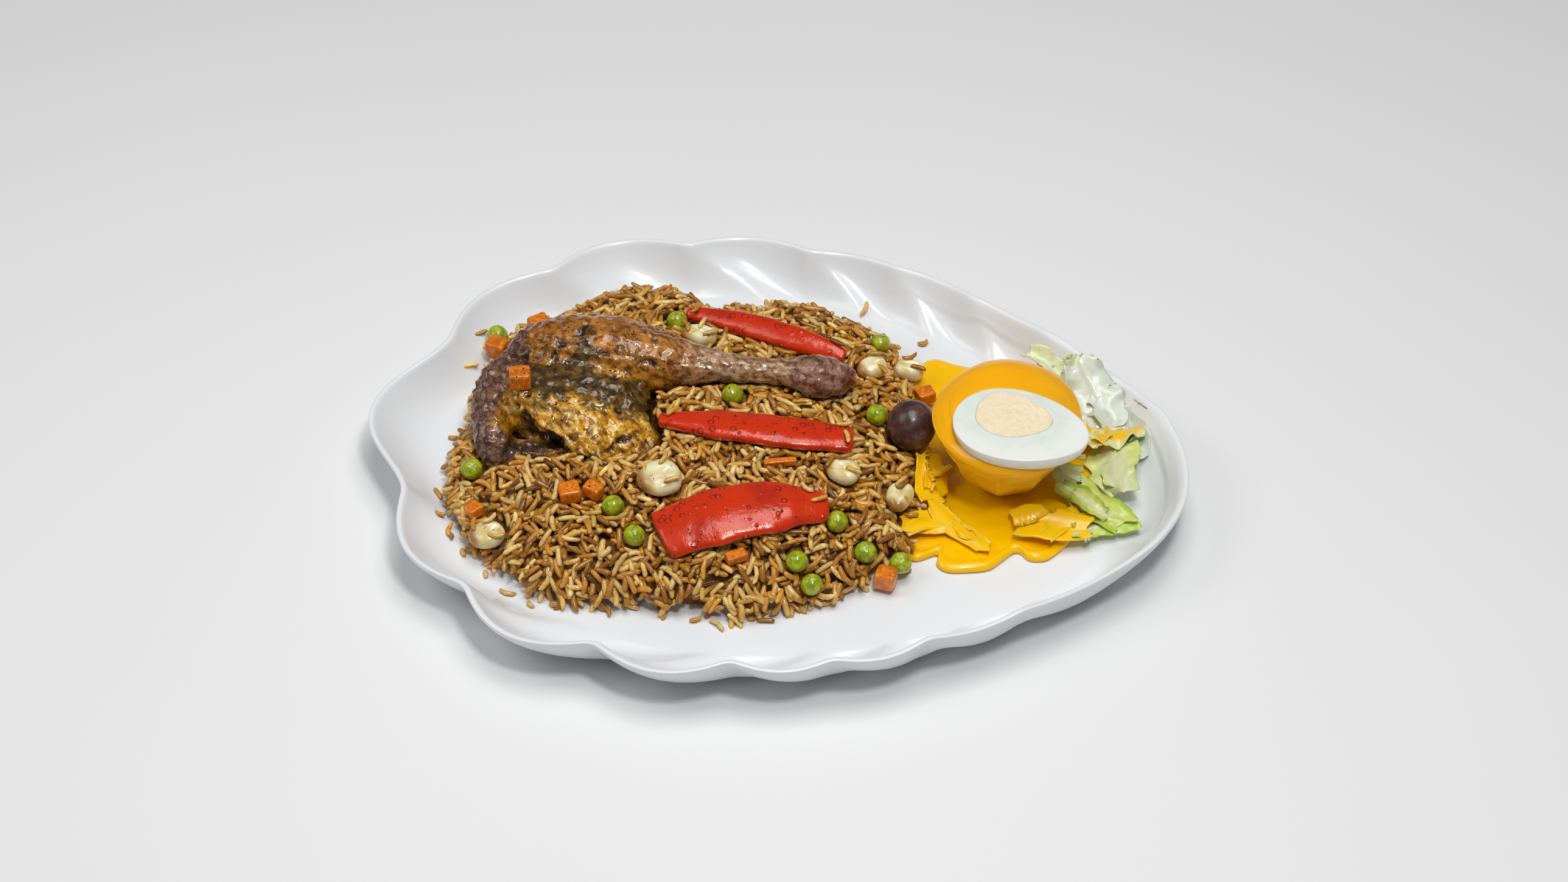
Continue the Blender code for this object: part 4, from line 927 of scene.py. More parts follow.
def make_potato():
    """The potato: rings of a bowl-shaped body, its flat top pressed in under the egg. Its sides are cut in
    flats: the radius is that of an even prism inside the circle."""
    a = np.arange(160) * TAU / 160
    rings = []
    wedge = TAU / POTATO_FLATS
    flat = 1 - math.cos(wedge / 2) / np.cos((a + 0.25) % wedge - wedge / 2)

    def plan(share):
        return (POTATO_AT[0] + POTATO_HALF[0] * share * np.cos(a),
                POTATO_AT[1] + POTATO_HALF[1] * share * np.sin(a))

    for share, up in ((0.06, 0), (0.42, 0.0), (0.60, 0.10), (0.80, 0.34), (0.96, 0.66), (1.0, 0.88),
                      (0.94, 1.0)):
        lump = 1 + 0.02 * np.sin(3 * a + 5 * up) - flat * (up < 0.95)
        rings.append(np.stack([*plan(share * lump),
                               np.full(a.shape, POTATO_BASE + (POTATO_TOP - POTATO_BASE) * up)], 1))
    rings = list(softened(rings, 3))
    for share in np.linspace(0.92, 0.03, 40):
        x, y = plan(share)
        rings.append(np.stack([x, y, hollowed(np.full(a.shape, POTATO_TOP), x, y, 1.7)], 1))
    made = mesh_of("potato_half", *closed_rings(rings))
    p = places_of(made)
    side = ease(1.0, 4.0, POTATO_TOP - p[:, 2])
    p[:, :2] += (p[:, :2] - POTATO_AT) * (0.012 * noise(p, 9, 80) * side)[:, None]
    move_to(made, p)
    return served(outward(made), boiled_potato(), "potato", "potato")


def make_coat():
    """The sauce on the potato: a cap in rings that domes, runs over the edge in long soft drips and ends in a
    thick rounded lip; it dips under the egg and climbs a little against the egg's side."""
    a = np.arange(220) * TAU / 220
    drop = COAT_DROP + 1.6 * np.sin(3 * a + 0.6) + 1.2 * np.sin(5 * a) + 0.5 * np.sin(11 * a + 2)
    lump = 1 + 0.02 * np.sin(3 * a + 4.5)
    spin = np.stack([np.cos(a), np.sin(a)], 1)

    def plan(extra, share=1.0):
        reach = np.stack([POTATO_HALF[0] * lump * share + extra, POTATO_HALF[1] * lump * share + extra], 1)
        return np.asarray(POTATO_AT) + reach * spin

    rings = []
    for share in np.linspace(0.03, 0.90, 34):
        xy = plan(0, share)
        rings.append(np.column_stack([xy, hollowed(np.full(a.shape, POTATO_TOP + 0.35), *xy.T, 1.3)]))
    outer = []
    lift = HUMP_HIGH * bell(a, HUMP_WAY, HUMP_WIDE)
    for extra, low, rise in ((-1.4, -0.35, 0), (1.05, 1.2, 0), (1.15, drop, 0), (1.6, drop + 0.3, 0),
                             (2.3, drop - 0.7, 0), (2.8, drop * 0.5, 0.2), (2.6, 2.6, 0.5), (1.4, 1.2, 0.8),
                             (-1.2, -0.35, 0.95), (-4.2, -1.72, 1.0)):
        outer.append(np.column_stack([plan(extra), np.broadcast_to(POTATO_TOP - low + rise * lift, a.shape)]))
    rings += list(softened(outer, 2))
    for share in np.linspace(0.85, 0.03, 44):
        xy = plan(0, share)
        dome = POTATO_TOP + COAT_THICK + COAT_DOME - COAT_FALL * share ** 4
        dome = dome + lift * ease(0.15, 0.80, share) + 0.30 * flat_noise(xy, 13, 81)
        dome = dome + 0.9 * bell(egg_share(*xy.T), 1.0, 0.25)
        rings.append(np.column_stack([xy, hollowed(dome, *xy.T, 0.3)]))
    # Painted shade: the same sauce is given a slightly deeper yellow here on the lit top of the potato than
    # in the pool.
    sauce = yellow_sauce("yellow_sauce_cap", "#FFB000", "#FFB800")
    return served(ringed("sauce_cap", rings), sauce, "yellow_sauce", "sauce_coat")


def make_egg():
    """Half an egg, cut face up: rings of a half ellipsoid blunter on one side, a slightly dished face with a
    rounded rim, and a yolk in a shallow seat."""
    a = np.arange(150) * TAU / 150
    blunt = 1 - EGG_BLUNT * np.cos(a)

    def placed(rings):
        return spun(np.asarray(rings), math.radians(EGG_TURN)) + EGG_AT

    def face(share, high):
        return np.stack([EGG_LONG / 2 * share * np.cos(a), EGG_WIDE / 2 * share * np.sin(a) * blunt,
                         np.broadcast_to(high, a.shape)], 1)

    shares = np.sin(np.linspace(0.03, np.pi / 2, 30))
    under = [face(k, -EGG_RIM - EGG_DEEP * math.sqrt(1 - k ** 2)) for k in shares]
    rim = [face(k, h) for k, h in ((1.0, -0.35), (0.997, -0.15), (0.985, 0.0), (0.97, 0.02), (0.94, -0.05))]
    yolk_a = 1 + 0.016 * np.sin(3 * a + 1) + 0.012 * np.sin(5 * a + 2.2) + 0.006 * np.sin(9 * a)

    def disc(share, high):
        return np.stack([YOLK_D[0] / 2 * share * yolk_a * np.cos(a) + YOLK_OFF[0],
                         YOLK_D[1] / 2 * share * yolk_a * np.sin(a) * blunt + YOLK_OFF[1],
                         np.broadcast_to(high, a.shape)], 1)

    outer, seat = face(0.94, -0.05), disc(1.002, 0.22)
    inner = [outer * (1 - t) + seat * t - (0, 0, 0.10 * math.sin(math.pi * t))
             for t in np.linspace(0.08, 1, 20)]
    bowl = [disc(1.0, -0.6), disc(0.9, -1.4), disc(0.5, -1.6), disc(0.05, -1.6)]
    white = ringed("egg_half", placed(under + rim + inner + bowl))
    p = places_of(white) - EGG_AT
    u, v = turned(p[:, 0], p[:, 1], -math.radians(EGG_TURN))
    far = np.hypot((u - YOLK_OFF[0]) / YOLK_D[0], (v - YOLK_OFF[1]) / YOLK_D[1]) * 2
    halo = bell(far, 1.2, 0.28) * (p[:, 2] > -0.3)
    tint(white, stained(p, "#F0F2EC", ("#D9E8DC", halo * (0.55 + 0.35 * noise(p, 6, 90)))))
    served(white, boiled_white(), "egg_white", "egg_white")

    lower = [disc(k, h) for k, h in ((0.05, -1.3), (0.5, -1.3), (0.9, -1.1), (0.98, -0.3), (0.997, 0.16),
                                     (0.975, YOLK_PROUD - 0.1))]
    top = [disc(k, YOLK_PROUD - 0.1) for k in np.linspace(0.93, 0.02, 34)]
    yolk = ringed("egg_yolk_half", placed(lower + top))
    p = places_of(yolk)
    up = ease(EGG_AT[2] - 0.2, EGG_AT[2] + 0.3, p[:, 2])
    p[:, 2] += up * (0.16 * noise(p, 2.4, 91) + 0.14 * noise(p, 5.5, 92) - 0.1)
    move_to(yolk, p)
    served(yolk, boiled_yolk(), "egg_yolk", "egg_yolk")


def pool_outline(count):
    """The outline of the pool of sauce at even steps: a closed spline through its points."""
    ring = np.array(POOL, float)
    t = np.arange(count) * len(ring) / count
    i, f = t.astype(int), (t % 1)[:, None]
    p0, p1, p2, p3 = (ring[(i + k) % len(ring)] for k in (-1, 0, 1, 2))
    return 0.5 * (2 * p1 + (p2 - p0) * f + (2 * p0 - 5 * p1 + 4 * p2 - p3) * f ** 2
                  + (3 * p1 - p0 - 3 * p2 + p3) * f ** 3)


POOL_MID = np.array([94.0, 10.0])


def make_pool():
    """The pool of sauce: its outline drawn in towards the middle ring by ring, with a rounded edge that
    stands on the plate and a top that swells in slow waves."""
    outline = pool_outline(420)
    rings = []
    sides = ((0.04, 0.0), (0.5, 0.0), (0.93, 0.0), (0.975, 0.02), (1.0, 0.18), (1.006, 0.5), (0.995, 0.8),
             (0.97, 0.98))
    tops = [(k, 1.0) for k in np.linspace(0.94, 0.04, 46)]
    for share, up in sides + tuple(tops):
        plan = POOL_MID + (outline - POOL_MID) * share
        floor = plate_top(*plan.T) + 0.12
        thick = np.maximum(POOL_TOP - 0.3 - floor, 1.2)
        flow = 0.55 * flat_noise(plan, 15, 95) + 0.60 * flat_noise(plan * (1, 1.6), 10, 96)
        rim = 0.9 * bell(share, 0.95, 0.035)
        rings.append(np.column_stack([plan, floor + (thick + (flow + rim - 0.2) * (up > 0.9)) * up]))
    # Painted light: the same sauce is given a paler yellow here in the pool, which lies partly in the
    # potato's shade, than on the potato.
    sauce = yellow_sauce("yellow_sauce_pool", "#FFC000", "#FFC800")
    return served(ringed("sauce_puddle", rings), sauce, "yellow_sauce", "sauce_pool")


# ---------------------------------------------------------------- lettuce
LEAF_GRID = (54, 30)  # points along and across a leaf


def leaf(at, long, wide, turn, pitch, roll, green, sauce, seed, thin=0.5):
    """One torn leaf: a grid bowed in slow waves, its margin frilled in quicker ones that grow outwards and
    its outline nibbled by noise, with both faces a leaf's thickness apart. It is kept off the potato and the
    plate. Gives points, faces, colours, how much sauce lies on each point and how opaque each is."""
    rng = np.random.default_rng(seed)
    nu, nv = LEAF_GRID
    u, v = np.meshgrid(np.linspace(-1, 1, nu), np.linspace(-1, 1, nv), indexing="ij")
    phase = rng.uniform(0, 6, 6)
    taper = 0.62 + 0.38 * np.cos(1.35 * u + 0.4 * math.sin(phase[0]))
    flat = np.stack([u * 9, v * 5, np.full(u.shape, seed * 3.0)], -1)
    heavy = sauce > 0.5  # a leaf under sauce lies flatter and its edge is calmer
    calm = 0.3 if heavy else 1.0
    ragged = 1 + calm * (0.06 * noise(flat, 2.2, 100) + 0.02 * noise(flat, 0.9, 101))
    x = u * long / 2 * (1 + 0.10 * np.sin(3 * v + phase[1])) * (1 + (ragged - 1) * np.abs(u) ** 3)
    y = v * wide / 2 * taper * (1 + (ragged - 1) * 1.8 * np.abs(v) ** 2) + 1.2 * np.sin(2.4 * u + phase[2])
    z = 1.7 * np.sin(2.6 * u + phase[0]) * (0.4 + np.abs(v)) + 1.2 * np.sin(3.4 * v + phase[1])
    frill = np.abs(v) ** 2.2 * (1.3 * np.sin(7 * u + phase[3]) + 0.5 * np.sin(13 * u + phase[4] + 2 * v))
    z = z + calm * (0.07 * wide * frill + 0.45 * noise(flat * 2, 4.0, 102))
    z = z + 0.7 * calm * bell(v, 0, 0.10) * ease(1.0, -0.6, u)
    rib = bell(v, 0, 0.16) * ease(0.95, -0.8, u)
    veins = ease(0.93, 1.0, np.cos((u * 1.9 - np.abs(v) * 1.6) * 8)) * ease(1.0, 0.4, np.abs(v))
    p, r, t = (math.radians(k) for k in (pitch, roll, turn))
    y, z = turned(y, z, r)
    x, z = turned(x, z, -p)
    x, y = turned(x, y, t)
    x, y = x + at[0], y + at[1]
    reach = wall_point(np.degrees(np.arctan2(y, x)), 0.93)[0] / np.hypot(x, y)
    x, y = x * np.minimum(reach, 1), y * np.minimum(reach, 1)
    beside = np.hypot((x - POTATO_AT[0]) / (POTATO_HALF[0] + 4.4),
                      (y - POTATO_AT[1]) / (POTATO_HALF[1] + 4.4))
    push = np.maximum(beside, 1) / np.maximum(beside, 0.05)
    pushed = (z + at[2] > 24) | (beside > 0.86)
    x = np.where(pushed, POTATO_AT[0] + (x - POTATO_AT[0]) * push, x)
    y = np.where(pushed, POTATO_AT[1] + (y - POTATO_AT[1]) * push, y)
    top = np.stack([x, y, z * (1 - 0.45 * heavy) + at[2]], -1)
    ground = np.maximum(plate_top(x, y), POOL_TOP + 0.2) + 0.7
    top[..., 2] = ground + np.logaddexp(0, (top[..., 2] - thin - ground) / 1.2) * 1.2 + thin
    i, j = np.meshgrid(np.arange(nu - 1), np.arange(nv - 1), indexing="ij")
    quads = np.stack([i * nv + j, (i + 1) * nv + j, (i + 1) * nv + j + 1, i * nv + j + 1], -1).reshape(-1, 4)
    count = nu * nv
    edge = np.concatenate([np.arange(nu) * nv, (nu - 1) * nv + np.arange(1, nv),
                           np.arange(nu - 2, -1, -1) * nv + nv - 1, np.arange(nv - 2, 0, -1)])
    sides = np.stack([edge, edge + count, np.roll(edge, -1) + count, np.roll(edge, -1)], 1)
    normal = np.cross(np.gradient(top, axis=0), np.gradient(top, axis=1))
    normal /= np.maximum(np.linalg.norm(normal, axis=-1)[..., None], 1e-9)
    normal *= np.sign(normal[..., 2:] + 1e-9)
    thick = (thin + 0.3 * heavy) * (1 + (0.3 if heavy else 1.6) * rib)[..., None]
    points = np.vstack([top.reshape(-1, 3), (top - normal * thick).reshape(-1, 3)])
    share = green * (0.45 + 0.75 * np.abs(v) ** 1.5 + 0.3 * u * math.sin(phase[5]))
    share = np.clip(share - 0.55 * rib, 0, 1)
    tone = stained(top, "#E8EEC4", ("#D6E070", ease(0.15, 0.75, share)),
                   ("#AECA3A", ease(0.70, 1.05, share) * 0.9),
                   ("#EEF0DA", np.clip(veins * 0.5 + rib * 0.6, 0, 1)),
                   ("#E8F0EC", np.full(share.shape, 0.8 if green < 0.06 else 0.0)))
    wet = sauce * (1.1 - 0.55 * np.abs(v) ** 3 - 0.3 * np.abs(u) ** 4)
    wet = ease(0.14, 0.34, wet + 0.22 * noise(flat, 3.2, 103) * (sauce > 0))
    clear = 1.0 - (0.16 if green == 0.0 else 0.0) * (1 - wet)
    faces = np.vstack([quads, quads[:, ::-1] + count, sides])
    return (points, faces, np.tile(tone.reshape(-1, 3), (2, 1)), np.tile(wet.ravel(), 2),
            np.tile(clear.ravel(), 2))


def make_lettuce(name, leaves, seed, node, material):
    """A loose heap of torn leaves as one mesh; extra shreds fill in between the larger ones."""
    rng = np.random.default_rng(seed)
    full = list(leaves)
    for at, long, wide, turn, pitch, roll, green, sauce in leaves:
        off = rng.uniform(-1, 1, 3) * (6, 5, 1.6)
        full.append((tuple(np.array(at) + off), long * rng.uniform(0.5, 0.75),
                     wide * rng.uniform(0.35, 0.6), turn + rng.uniform(-60, 60),
                     pitch * 0.6 + rng.uniform(-12, 12), roll + rng.uniform(-25, 25),
                     float(np.clip(green + rng.uniform(-0.2, 0.2), 0, 1)), sauce * 0.8))
    parts, shift = [], 0
    for i, one in enumerate(full):
        part = leaf(*one, seed * 10 + i)
        parts.append((part[0], part[1] + shift) + part[2:])
        shift += len(part[0])
    made = mesh_of(name, np.vstack([p[0] for p in parts]), np.vstack([p[1] for p in parts]))
    outward(made)
    tint(made, np.vstack([p[2] for p in parts]))
    # Painted light: the sauce on the leaves is given a paler yellow than the same sauce on the potato, as the
    # leaves lie partly in shade.
    tint(made, np.broadcast_to(rgb("#FFCA08"), (shift, 3)), "SauceTint")
    grade(made, "Sauce", np.concatenate([p[3] for p in parts]))
    grade(made, "Clear", np.concatenate([p[4] for p in parts]))
    return served(made, material, "lettuce", node)


# ---------------------------------------------------------------- rice
STEP = 0.5
MAP_X, MAP_Y = np.arange(-150, 82, STEP), np.arange(-116, 126, STEP)
CORE_DROP = 4.2  # how far the heap's body lies under the finished heap
GRAIN_LONG, GRAIN_THICK = (8.8, 1.1), (2.65, 0.2)  # mean and spread
TRIES, QUICK_TRIES = 150000, 40000
LOOSE_SHARE, BATCH = 0.45, 2500  # tries at random, then batches dropped where a hollow is left
# A hollow worth filling, the least room for a grain, how proud it may stand, and its steepest slope.
HOLLOW_DEEP, LEAST_ROOM, SPARE, STEEPEST = 0.8, 0.5, 1.8, 0.75
NOTHING = 999.0  # the map where no topping is


def cell(x, y):
    """Row and column of the map at a place."""
    return int((x - MAP_X[0]) / STEP), int((y - MAP_Y[0]) / STEP)


def heap_edge(angle):
    """Radius of the rice outline about its middle at an angle in degrees."""
    return np.interp(np.asarray(angle) % 360, np.arange(25) * 15.0, HEAP_RADII + HEAP_RADII[:1])


def heap_share(x, y):
    """0 at the middle of the heap and 1 on its outline."""
    dx, dy = x - HEAP_MID[0], y - HEAP_MID[1]
    return np.hypot(dx, dy) / heap_edge(np.degrees(np.arctan2(dy, dx)))


def heap_top(x, y):
    """Height of the rice: a flat-topped dome on the plate."""
    part = np.clip(heap_share(x, y), 0, 1)
    return plate_top(x, y) * 0.35 + FLOOR_Z * 0.65 + 2.0 + 24.0 * (1 - part ** 4) ** 0.75


def cover_maps(toppings):
    """Height of the lowest and highest point of the toppings over each cell of the map, by rays at every
    second cell, and the tree of their faces."""
    verts, faces, shift = [], [], 0
    for piece in toppings:
        mesh = piece.data
        mesh.calc_loop_triangles()
        tri = np.empty(len(mesh.loop_triangles) * 3, np.int32)
        mesh.loop_triangles.foreach_get("vertices", tri)
        verts.append(places_of(piece))
        faces.append(tri.reshape(-1, 3) + shift)
        shift += len(mesh.vertices)
    tree = BVHTree.FromPolygons(np.vstack(verts).tolist(), np.vstack(faces).tolist())
    xs, ys = MAP_X[::2], MAP_Y[::2]
    low = np.full((len(xs), len(ys)), NOTHING)
    high = -low
    up, down = Vector((0, 0, 1)), Vector((0, 0, -1))
    for i, x in enumerate(xs):
        for j, y in enumerate(ys):
            hit = tree.ray_cast(Vector((x, y, 0.0)), up)
            if hit[0] is not None:
                low[i, j] = hit[0].z
                high[i, j] = tree.ray_cast(Vector((x, y, 90.0)), down)[0].z
    low, high = np.repeat(np.repeat(low, 2, 0), 2, 1), np.repeat(np.repeat(high, 2, 0), 2, 1)
    return low[:len(MAP_X), :len(MAP_Y)], high[:len(MAP_X), :len(MAP_Y)], tree


def spread_low(field, reach):
    """Each cell takes the lowest value within a square of that reach, in cells."""
    out = field.copy()
    for axis in (0, 1):
        best = out.copy()
        for k in range(1, reach + 1):
            for sign in (-k, k):
                best = np.minimum(best, np.roll(out, sign, axis))
        out = best
    return out


def inside_pool():
    """True on the cells of the map that lie over the pool of sauce."""
    ring = pool_outline(240)
    x, y = np.meshgrid(MAP_X, MAP_Y, indexing="ij")
    angles = np.arctan2(ring[:, 1] - POOL_MID[1], ring[:, 0] - POOL_MID[0])
    order = np.argsort(angles)
    radii = np.hypot(*(ring - POOL_MID).T)[order]
    here = np.interp(np.arctan2(y - POOL_MID[1], x - POOL_MID[0]), angles[order], radii, period=TAU)
    return np.hypot(x - POOL_MID[0], y - POOL_MID[1]) < here


def make_core(ceiling):
    """The body of the heap under the loose grains: a lumpy dome in rings that stays under every topping."""
    a = np.arange(220) * TAU / 220
    edge = heap_edge(np.degrees(a)) - 10.0
    rings = []

    def ring(share, top):
        xy = HEAP_MID + (edge * share)[:, None] * np.stack([np.cos(a), np.sin(a)], 1)
        base = plate_top(*xy.T) + 0.7
        if top:
            i = np.clip(((xy[:, 0] - MAP_X[0]) / STEP).astype(int), 0, len(MAP_X) - 1)
            j = np.clip(((xy[:, 1] - MAP_Y[0]) / STEP).astype(int), 0, len(MAP_Y) - 1)
            high = heap_top(*xy.T) - CORE_DROP + 0.8 * flat_noise(xy, 5, 110)
            high = np.minimum(high, ceiling[i, j] - 0.6)
            base = np.maximum(high, base + 0.4)
        rings.append(np.column_stack([xy, base]))

    for share in (0.03, 0.3, 0.6, 0.85, 0.97, 1.0):
        ring(share, False)
    for share in np.linspace(0.985, 0.02, 110):
        ring(share, True)
    return served(ringed("rice_bed", rings), dark_core(), "rice", "rice")


def settle(tries, low, start, seed):
    """Drops grains one by one on a height map. Each grain rests on the highest points under its two halves,
    tips to suit them, and raises the map where it lies; it is skipped where the heap is already full or
    where it would touch a topping. Rows of the answer: x, y, z, turn, slope, length, thickness."""
    rng = np.random.default_rng(seed)
    high = start.copy()
    x, y = np.meshgrid(MAP_X, MAP_Y, indexing="ij")
    flat = np.stack([x, y, np.zeros(x.shape)], -1)
    share = heap_share(x, y)
    full = heap_top(x, y) + 0.8 + 1.9 * noise(flat, 13, 111) + 1.3 * noise(flat, 5, 112)
    full += 5.0 * np.exp(-((x + 72) ** 2 / 700 + (y - 84) ** 2 / 120))
    full += 4.0 * np.exp(-((x - 2) ** 2 / 500 + (y - 84) ** 2 / 150))
    ragged = 0.97 + 0.035 * noise(flat, 17, 113) + 0.02 * noise(flat, 6, 114)
    full = np.where(share < np.maximum(ragged, 0.945), full, -99)
    spots = rng.uniform((MAP_X[6], MAP_Y[6]), (MAP_X[-7], MAP_Y[-7]), (tries, 2))
    turn = rng.uniform(0, np.pi, tries)
    long, thick = rng.normal(*GRAIN_LONG, tries), rng.normal(*GRAIN_THICK, tries)
    tip = rng.normal(0, 0.2, tries)
    along = np.linspace(-0.94, 0.94, 17)
    across = np.array([-1.15, -0.62, 0.0, 0.62, 1.15])
    roof = np.array([0.55, 0.88, 1.0, 0.88, 0.55])
    rows, gaps = [], int(tries * LOOSE_SHARE)
    for k in range(tries):
        wedged = k >= gaps
        if wedged and (k - gaps) % BATCH == 0:
            hollow = np.argwhere(full - high > HOLLOW_DEEP)
            if not len(hollow):
                break
            pick = hollow[rng.integers(0, len(hollow), BATCH)]
            stop = min(k + BATCH, tries)
            spots[k:stop] = (np.stack([MAP_X[pick[:, 0]], MAP_Y[pick[:, 1]]], 1))[:stop - k]
        px, py = spots[k]
        i, j = cell(px, py)
        if full[i, j] - high[i, j] < LEAST_ROOM:
            continue
        c, s = math.cos(turn[k]), math.sin(turn[k])
        t = along * (long[k] / 2)
        gi = np.rint((px + t[:, None] * c - across * s - MAP_X[0]) / STEP).astype(int)
        gj = np.rint((py + t[:, None] * s + across * c - MAP_Y[0]) / STEP).astype(int)
        if gi.min() < 0 or gj.min() < 0 or gi.max() >= len(MAP_X) or gj.max() >= len(MAP_Y):
            continue
        under = high[gi, gj].max(1)
        a, b = int(under[:8].argmax()), 9 + int(under[9:].argmax())
        slope = min(max((under[b] - under[a]) / (t[b] - t[a]) + tip[k], -STEEPEST), STEEPEST)
        rest = np.sort(under - slope * t)[-11 if wedged else -8] - 0.3
        body = rest + slope * t
        if rest + thick[k] > full[i, j] + SPARE or (body + thick[k] > low[gi, gj].min(1)).any():
            continue
        high[gi, gj] = np.maximum(high[gi, gj], body[:, None] + thick[k] * roof * 0.6)
        rows.append((px, py, rest + thick[k] / 2, turn[k], slope, long[k], thick[k]))
    return np.array(rows), high


# Single grains that lie on the toppings: place in plan and direction in radians.
ON_TOP = ((24, -42, 0.5), (18, -37, 2.4), (31, -4, 1.9), (29, 4, 0.3), (-43, -1, 0.9), (-44, 70, 1.2),
          (20, 53, 2.7), (55, -17, 1.0))

GRAIN_ALONG = np.array([-1.0, -0.94, -0.66, 0.05, 0.70, 0.95, 1.0])
GRAIN_WIDE = np.array([0.60, 0.96, 1.0, 0.90, 0.56])
GRAIN_SIDES = 6
GRAIN_POINTS = len(GRAIN_WIDE) * GRAIN_SIDES + 2


def grains(name, rows, colours, material, seed):
    """Many grains as one mesh: each is a spindle of five rings of six points, blunter at one end, slightly
    bent, laid along its own direction."""
    rng = np.random.default_rng(seed)
    count = len(rows)
    a = np.arange(GRAIN_SIDES) * TAU / GRAIN_SIDES
    s = np.append(np.repeat(GRAIN_ALONG[1:-1], GRAIN_SIDES), GRAIN_ALONG[[0, -1]])
    w = np.append(np.repeat(GRAIN_WIDE, GRAIN_SIDES), [0, 0])
    cy, cz = (np.append(np.tile(way, len(GRAIN_WIDE)), [0, 0]) for way in (np.cos(a), np.sin(a)))
    x, y, z, turn, slope, long, thick = (rows[:, i, None] for i in range(7))
    flip = rng.choice([-1.0, 1.0], (count, 1))
    bend = rng.normal(0, 0.80, (count, 1))
    lift = rng.normal(0, 0.40, (count, 1))
    along = s * flip * long / 2
    side = w * cy * thick / 2 + bend * (s ** 2 - 0.4)
    tall = w * cz * thick / 2 * 0.88 + lift * (s ** 2 - 0.3)
    tip = np.arctan(slope)
    flat, rise = along * np.cos(tip) - tall * np.sin(tip), along * np.sin(tip) + tall * np.cos(tip)
    points = np.stack([x + flat * np.cos(turn) - side * np.sin(turn),
                       y + flat * np.sin(turn) + side * np.cos(turn), z + rise], -1)
    quads, fans = ring_faces(len(GRAIN_WIDE), GRAIN_SIDES)
    shift = (np.arange(count) * GRAIN_POINTS)[:, None, None]
    made = mesh_of(name, points.reshape(-1, 3), (quads[None] + shift).reshape(-1, 4),
                   (fans[None] + shift).reshape(-1, 3))
    outward(made)
    hue = rng.uniform(0, 1, (count, 1))
    base = colours[0] * (1 - hue) + colours[1] * hue
    shade = 1 + 0.10 * rng.normal(size=(count, 1, 1))
    shade = shade + 0.10 * (np.abs(s) ** 2)[None, :, None] * rng.choice([-1, 1], (count, 1, 1))
    tint(made, (base[:, None, :] * shade).reshape(-1, 3))
    return served(made, material, "rice")


# Name, share of the grains from and to, lighter and darker colour.
SHADES = (("rice_pale", 0.0, 0.38, "#EED088", "#DEB45A"), ("rice_golden", 0.38, 0.75, "#D8A242", "#C0862C"),
          ("rice_amber", 0.75, 0.97, "#B47C26", "#98641A"), ("rice_brown", 0.97, 1.01, "#845618", "#623A0E"))
# Two grains astray on the plate: place in plan, direction, slope, length and thickness.
STRAYS = ((26.3, 107.7, 1.35, 0.10, 8.6, 2.2), (54.4, 90.1, 0.6, 0.0, 5.0, 2.6))
# Around each corn kernel: offsets as shares of its size, and direction in radians.
OVER_CORN = ((0.34, -0.24, 0.4), (-0.36, 0.14, 2.0), (0.06, 0.38, 1.2))


def make_rice(toppings):
    """The heap: its core and the loose grains over it, in four shades, with a few on the food and a few
    strays. Gives the tree of the toppings' faces and the height of the heap, for the flecks."""
    low, high, tree = cover_maps(toppings)
    x, y = np.meshgrid(MAP_X, MAP_Y, indexing="ij")
    pool = inside_pool()
    make_core(spread_low(low, 4))
    floor = plate_top(x, y) + 0.05
    floor = np.where(pool, np.maximum(floor, POOL_TOP + 0.5), floor)
    bed = np.minimum(heap_top(x, y) - CORE_DROP, spread_low(low, 4) - 0.6)
    start = np.where(heap_share(x, y) < 0.90, np.maximum(bed, floor + 0.4), floor)
    rows, filled = settle(TRIES, spread_low(low, 1), start, 120)
    rng = np.random.default_rng(121)
    extra = [(px, py, plate_top(px, py) + 1.3, *rest) for px, py, *rest in STRAYS]
    corn = [(at[0] + dx * size[0], at[1] + dy * size[1], way + at[1])
            for at, size, _ in CORN for dx, dy, way in OVER_CORN]
    for px, py, way in ON_TOP + tuple(corn):
        ledge = high[cell(px, py)]
        if ledge > 0:  # a topping lies there
            extra.append((px, py, ledge + 1.2, way, 0.0, 7.4, 2.2))
    for way in rng.uniform(0, TAU, 26):
        reach = heap_edge(np.degrees(way)) * rng.uniform(0.985, 1.05)
        px, py = HEAP_MID + reach * np.array([math.cos(way), math.sin(way)])
        if not pool[cell(px, py)]:
            extra.append((px, py, plate_top(px, py) + 1.3, rng.uniform(0, 3), 0.0, rng.uniform(4, 8), 2.1))
    rows = np.vstack([rows, extra])
    shade = rng.uniform(0, 1, len(rows))
    for i, (name, a, b, light, dark) in enumerate(SHADES):
        chosen = rows[(shade >= a) & (shade < b)]
        grains(name, chosen, (rgb(light), rgb(dark)), cooked_rice(name + "_grain"), 130 + i)
    return tree, filled


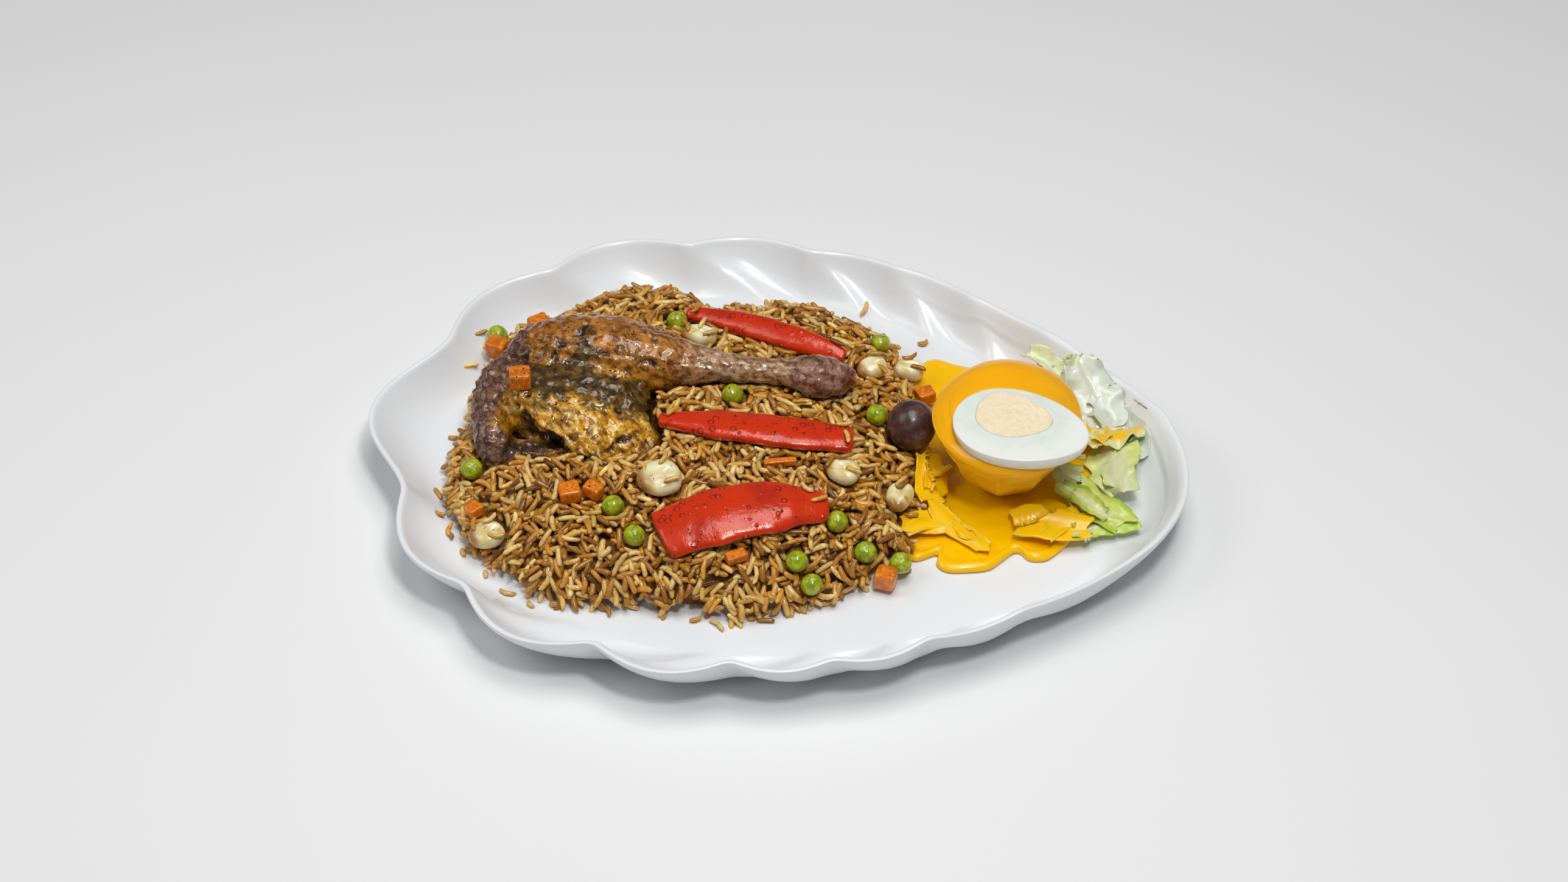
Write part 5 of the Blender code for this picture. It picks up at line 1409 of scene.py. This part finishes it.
def make_flecks(tree, filled):
    """Chopped herb and crumbs: eight-sided chips pressed flat on the duck, the peppers and the rice, each a
    stretched octahedron laid on the surface under it."""
    rng = np.random.default_rng(140)
    spots = []
    for px, py in rng.uniform((-125, -70), (40, 75), (1100, 2)):
        hit = tree.ray_cast(Vector((px, py, 90.0)), Vector((0, 0, -1)))
        if hit[0] is not None and hit[1].z > 0.35:
            if rng.uniform() < (0.8 if px < -45 and -10 < py else 0.25):
                spots.append((*hit[0], *hit[1]))
        elif rng.uniform() < 0.25 and heap_share(px, py) < 0.95:
            spots.append((px, py, filled[cell(px, py)] - 0.2, 0.0, 0.0, 1.0))
    spots = np.array(spots)
    count = len(spots)
    at, up = spots[:, :3], spots[:, 3:]
    side = np.cross(up, rng.normal(size=(count, 3)))
    side /= np.linalg.norm(side, axis=1)[:, None]
    fore = np.cross(up, side)
    size = rng.lognormal(-0.65, 0.35, (count, 1))
    arms = [side * size * 0.9, fore * size * 0.5, -side * size * 0.8, -fore * size * 0.55, up * 0.22,
            up * -0.3]
    points = np.stack([at + up * 0.1 + arm for arm in arms], 1)
    tris = np.array([(0, 1, 4), (1, 2, 4), (2, 3, 4), (3, 0, 4), (1, 0, 5), (2, 1, 5), (3, 2, 5), (0, 3, 5)])
    tris = tris[None] + (np.arange(count) * len(arms))[:, None, None]
    made = outward(mesh_of("herb_flecks", points.reshape(-1, 3), tris.reshape(-1, 3)))
    return served(made, herb_fleck(), "roast_skin")


# ---------------------------------------------------------------- room
FLOOR_HALF, FLOOR_DROP = 4000.0, -0.4
# Name, place and size in metres, and power in watts of each square light.
LIGHTS = (("overhead", (0.12, 0.04, 1.25), 0.62, 6.7), ("spark", (0.24, -0.46, 1.18), 0.16, 4.8),
          ("fill", (-0.66, -0.16, 0.85), 0.50, 2.2))
WORLD_STRENGTH = 0.15
CAMERA_AT, CAMERA_LENS, SENSOR = (0.12986394, -0.95687031, 0.94371071), 72.563, 36.0
CAMERA_TURN, CAMERA_TILT, NEAR_CLIP, FAR_CLIP = math.radians(7.5), math.radians(43.5), 0.05, 20.0


def make_floor():
    """A wide pale table top that isn't part of the dish."""
    points = np.array([(x, y, FLOOR_DROP) for x in (-FLOOR_HALF, FLOOR_HALF)
                       for y in (-FLOOR_HALF, FLOOR_HALF)], float)
    floor = mesh_of("table_top", points, np.array([(0, 2, 3, 1)]))
    floor.data.materials.append(pale_table())


def light(name, at, size, power):
    """A square soft light that faces the origin."""
    data = bpy.data.lights.new(name, "AREA")
    data.shape, data.size, data.energy = "SQUARE", size, power
    made = bpy.data.objects.new(name, data)
    bpy.context.scene.collection.objects.link(made)
    made.location = at
    made.rotation_mode = "QUATERNION"
    made.rotation_quaternion = (-Vector(at)).to_track_quat("-Z", "Y")


def make_room():
    """Floor, a large soft light overhead, a small one in front that gives the wet glints, a weak one at the
    left, a grey world and the camera."""
    make_floor()
    for row in LIGHTS:
        light(*row)
    world = bpy.data.worlds.new("studio")
    bpy.context.scene.world = world
    world.use_nodes = True
    world.node_tree.nodes["Background"].inputs["Color"].default_value = (1, 1, 1, 1)
    world.node_tree.nodes["Background"].inputs["Strength"].default_value = WORLD_STRENGTH
    bpy.context.scene.view_settings.view_transform = "Standard"
    data = bpy.data.cameras.new("camera")
    data.sensor_width, data.lens, data.clip_start, data.clip_end = SENSOR, CAMERA_LENS, NEAR_CLIP, FAR_CLIP
    made = bpy.data.objects.new("camera", data)
    bpy.context.scene.collection.objects.link(made)
    level = math.cos(CAMERA_TILT)
    back = Vector((math.sin(CAMERA_TURN) * level, -math.cos(CAMERA_TURN) * level, math.sin(CAMERA_TILT)))
    made.location = CAMERA_AT
    made.rotation_mode = "QUATERNION"
    made.rotation_quaternion = (-back).to_track_quat("-Z", "Y")
    bpy.context.scene.camera = made


def main():
    """Builds every piece."""
    make_room()
    make_plate()
    leafy = crisp_lettuce()
    duck, peppers, peas = make_duck(), make_peppers(), make_peas()
    carrots, corn, olive = make_carrots(), make_corn(), make_olive()
    make_potato()
    make_coat()
    make_egg()
    make_pool()
    make_lettuce("lettuce_heap", LEAVES, 7, "lettuce", leafy)
    left = make_lettuce("lettuce_sauced", LEAVES_LEFT, 57, "lettuce_left", leafy)
    tree, filled = make_rice([duck, peppers, peas, carrots, corn, olive, left])
    make_flecks(tree, filled)


main()
